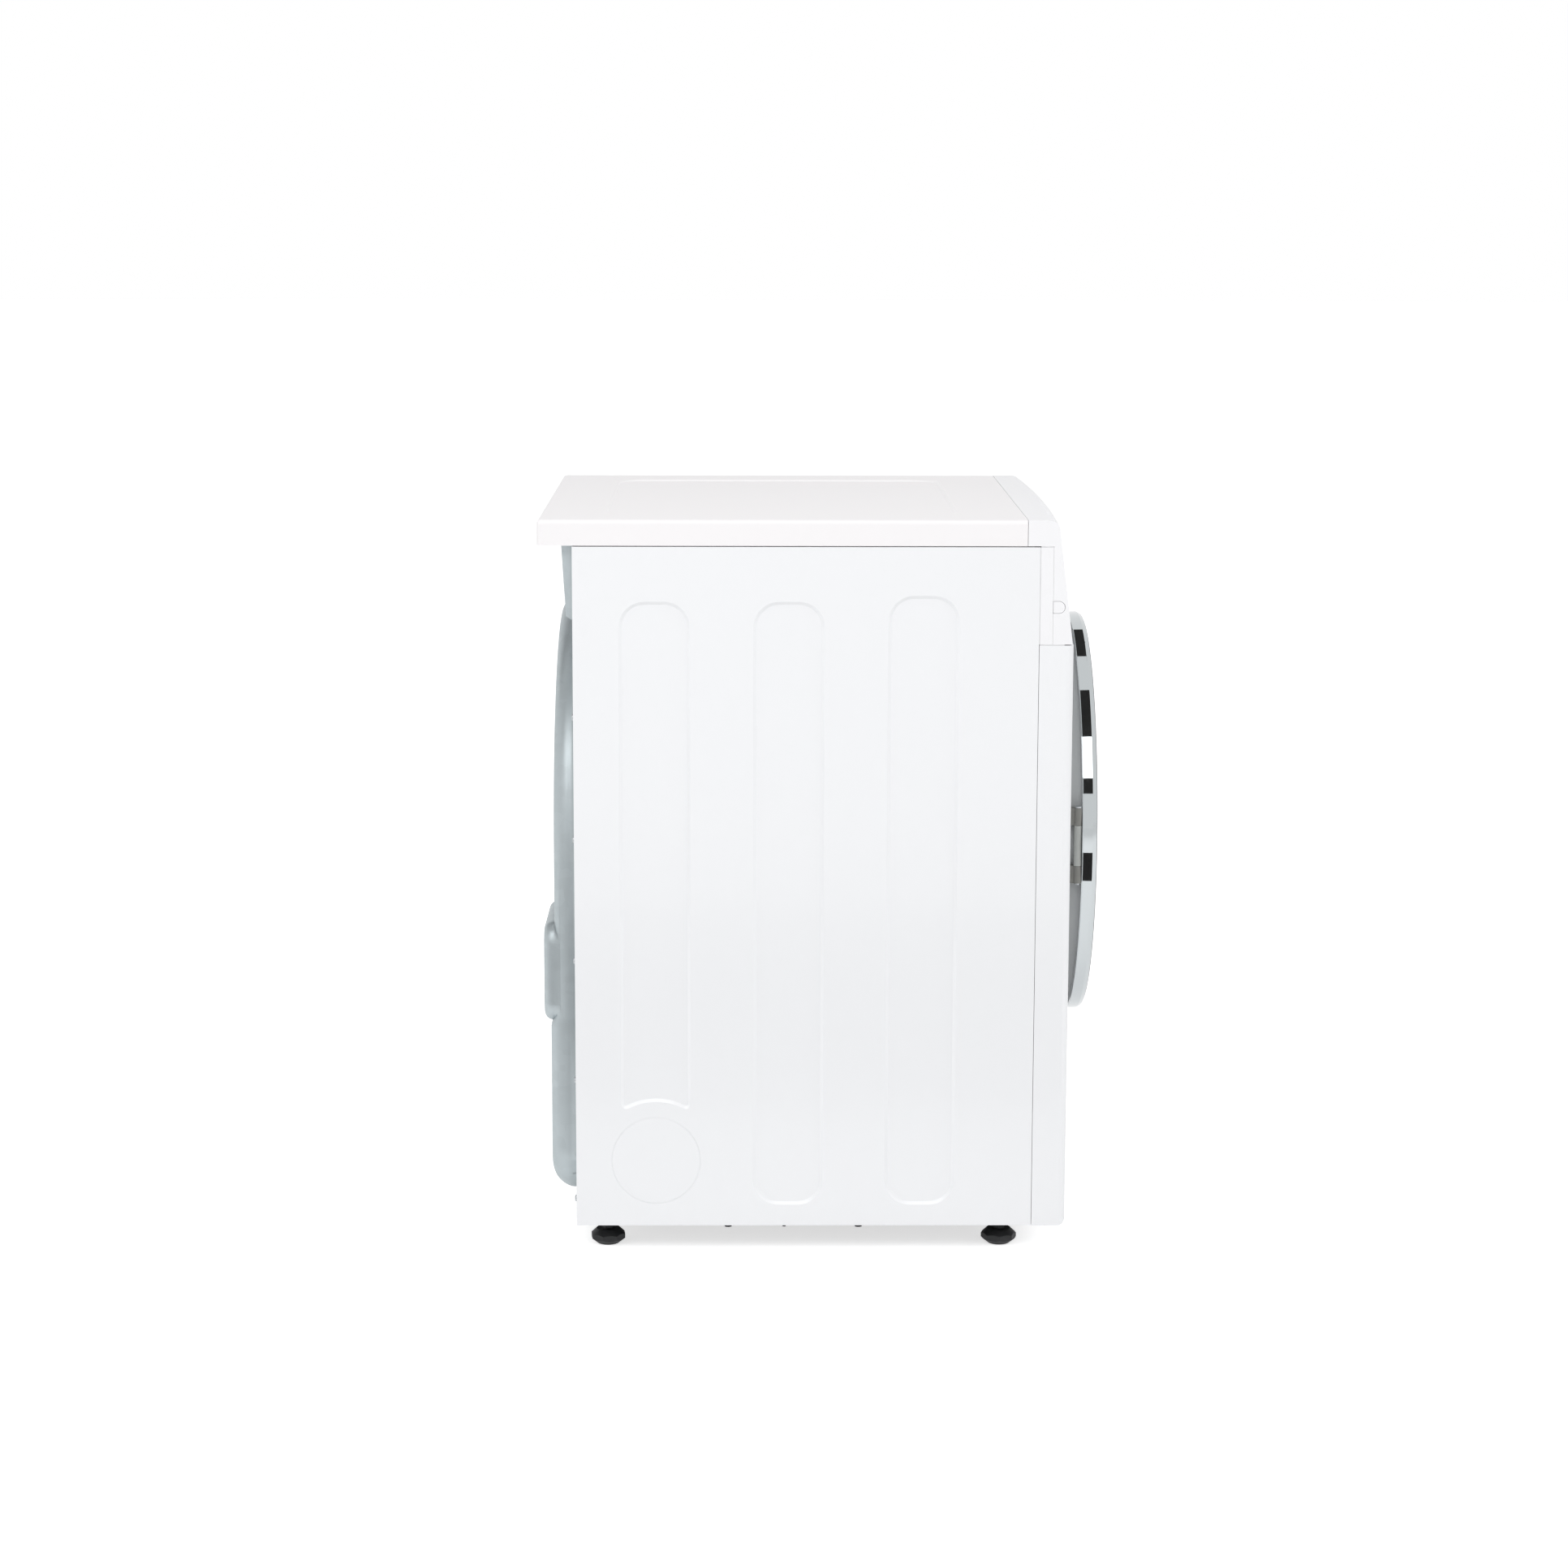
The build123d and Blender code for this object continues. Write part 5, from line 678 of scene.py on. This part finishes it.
def seen_directly(tree):
    """A socket that is 1 for rays from the camera, a mirror or glass, and 0 for light on other things."""
    rays = add(tree, "ShaderNodeLightPath").outputs
    mirror = compute(tree, "MAXIMUM", rays["Is Camera Ray"], rays["Is Glossy Ray"])
    return compute(tree, "MAXIMUM", mirror, rays["Is Transmission Ray"])


def floor_material():
    """Pale diffuse paint, lifted towards white where the camera, a mirror or glass shows it."""
    material, tree, shader = surface("studio_floor", "#F4F4F4", 0.9)
    rays = add(tree, "ShaderNodeLightPath")
    paper = compute(tree, "MULTIPLY", rays.outputs["Is Camera Ray"], FLOOR_LIFT)
    mirrored = compute(tree, "MULTIPLY", seen_directly(tree), MIRROR_LIFT)
    shader.inputs["Emission Color"].default_value = (1.0, 1.0, 1.0, 1.0)
    tree.links.new(compute(tree, "MAXIMUM", paper, mirrored), shader.inputs["Emission Strength"])
    return material


FLOOR_LIFT, MIRROR_LIFT = 0.65, 0.4
sheet_object("floor", [(-30, -30, 0), (30, -30, 0), (30, 30, 0), (-30, 30, 0)], floor_material())


def area_lamp(name, place, target, size, watts):
    """A rectangular soft lamp aimed at a point."""
    data = bpy.data.lights.new(name, "AREA")
    data.shape = "RECTANGLE"
    data.size, data.size_y = size
    data.energy = watts
    lamp = bpy.data.objects.new(name, data)
    bpy.context.scene.collection.objects.link(lamp)
    lamp.location = place
    lamp.rotation_euler = (Vector(target) - Vector(place)).to_track_quat("-Z", "Y").to_euler()
    return lamp


RING_X, RING_Z = -0.17, 0.466
overhead = area_lamp("overhead_softbox", (-0.9, 0.0, 3.4), (-0.2, 0, 0.4), (2.4, 3.0), 10)
overhead.visible_glossy = False
area_lamp("left_softbox", (-3.49, 0.9, 3.35), (RING_X, 0.9, RING_Z), (4.2, 2.0), 67)
front_fill = area_lamp("front_fill", (-1.0, -4.2, 2.4), (-0.1, 0, 0.6), (2.0, 2.0), 28)
rear_fill = area_lamp("rear_fill", (-1.0, 4.2, 2.4), (-0.1, 0, 0.6), (2.0, 2.0), 15)
front_fill.visible_glossy = rear_fill.visible_glossy = False

# %% [markdown]
# ## Cards for the chromed ring
#
# A mirror shows only what stands around it. In a white room chrome looks like white paint, so studios hang
# black cards where the mirror can see them. Four strips stand to the left of the machine, overhead and on
# the floor; each gives one dark band across the ring. They stop short of the front, so the ring's bevel,
# which looks further forward, stays light. Only mirrors see the cards: they cast no shadow and hide from
# the camera.

# %% Black cards
black_card = surface("black_card", "#262423", 0.8)[0]


def strip(name, angle, spread, distance):
    """A strip along Y, seen from the ring at this angle up from the left horizon, in degrees."""
    edges = []
    for turn in (angle - spread / 2, angle + spread / 2):
        ray = math.radians(turn)
        edges.append((RING_X - distance * math.cos(ray), RING_Z + distance * math.sin(ray)))
    (x0, z0), (x1, z1) = edges
    near, far = RING_BACK - 0.5 * distance, CARDS_END
    piece = sheet_object(name, [(x0, near, z0), (x0, far, z0), (x1, far, z1), (x1, near, z1)], black_card)
    piece.visible_camera = False
    piece.visible_diffuse = False
    piece.visible_shadow = False


CARDS_END = 4.0
strip("top_card", 122, 27, 2.4)
strip("high_card", 68, 30, 3.0)
strip("low_card", 24, 9, 3.6)
strip("floor_card", -24, 20, 0.9)

# %% [markdown]
# ## Sky
#
# The sky lights the scene as a soft white fill. The camera, mirrors and glass see it as clean white paper,
# so a metal in front of it shows about the colour that is written for it.

# %% Sky
world = bpy.data.worlds.new("studio")
bpy.context.scene.world = world
world.use_nodes = True
sky = world.node_tree
sky.nodes.clear()
SKY_FILL, SKY_WHITE = 0.57, 1.0
fill = add(sky, "ShaderNodeBackground", {"Color": (1.0, 1.0, 1.0, 1.0), "Strength": SKY_FILL})
white = add(sky, "ShaderNodeBackground", {"Color": (1.0, 1.0, 1.0, 1.0), "Strength": SKY_WHITE})
seen = add(sky, "ShaderNodeMixShader", {0: seen_directly(sky), 1: fill.outputs[0], 2: white.outputs[0]})
add(sky, "ShaderNodeOutputWorld", {"Surface": seen.outputs[0]})
bpy.context.scene.view_settings.view_transform = "Standard"
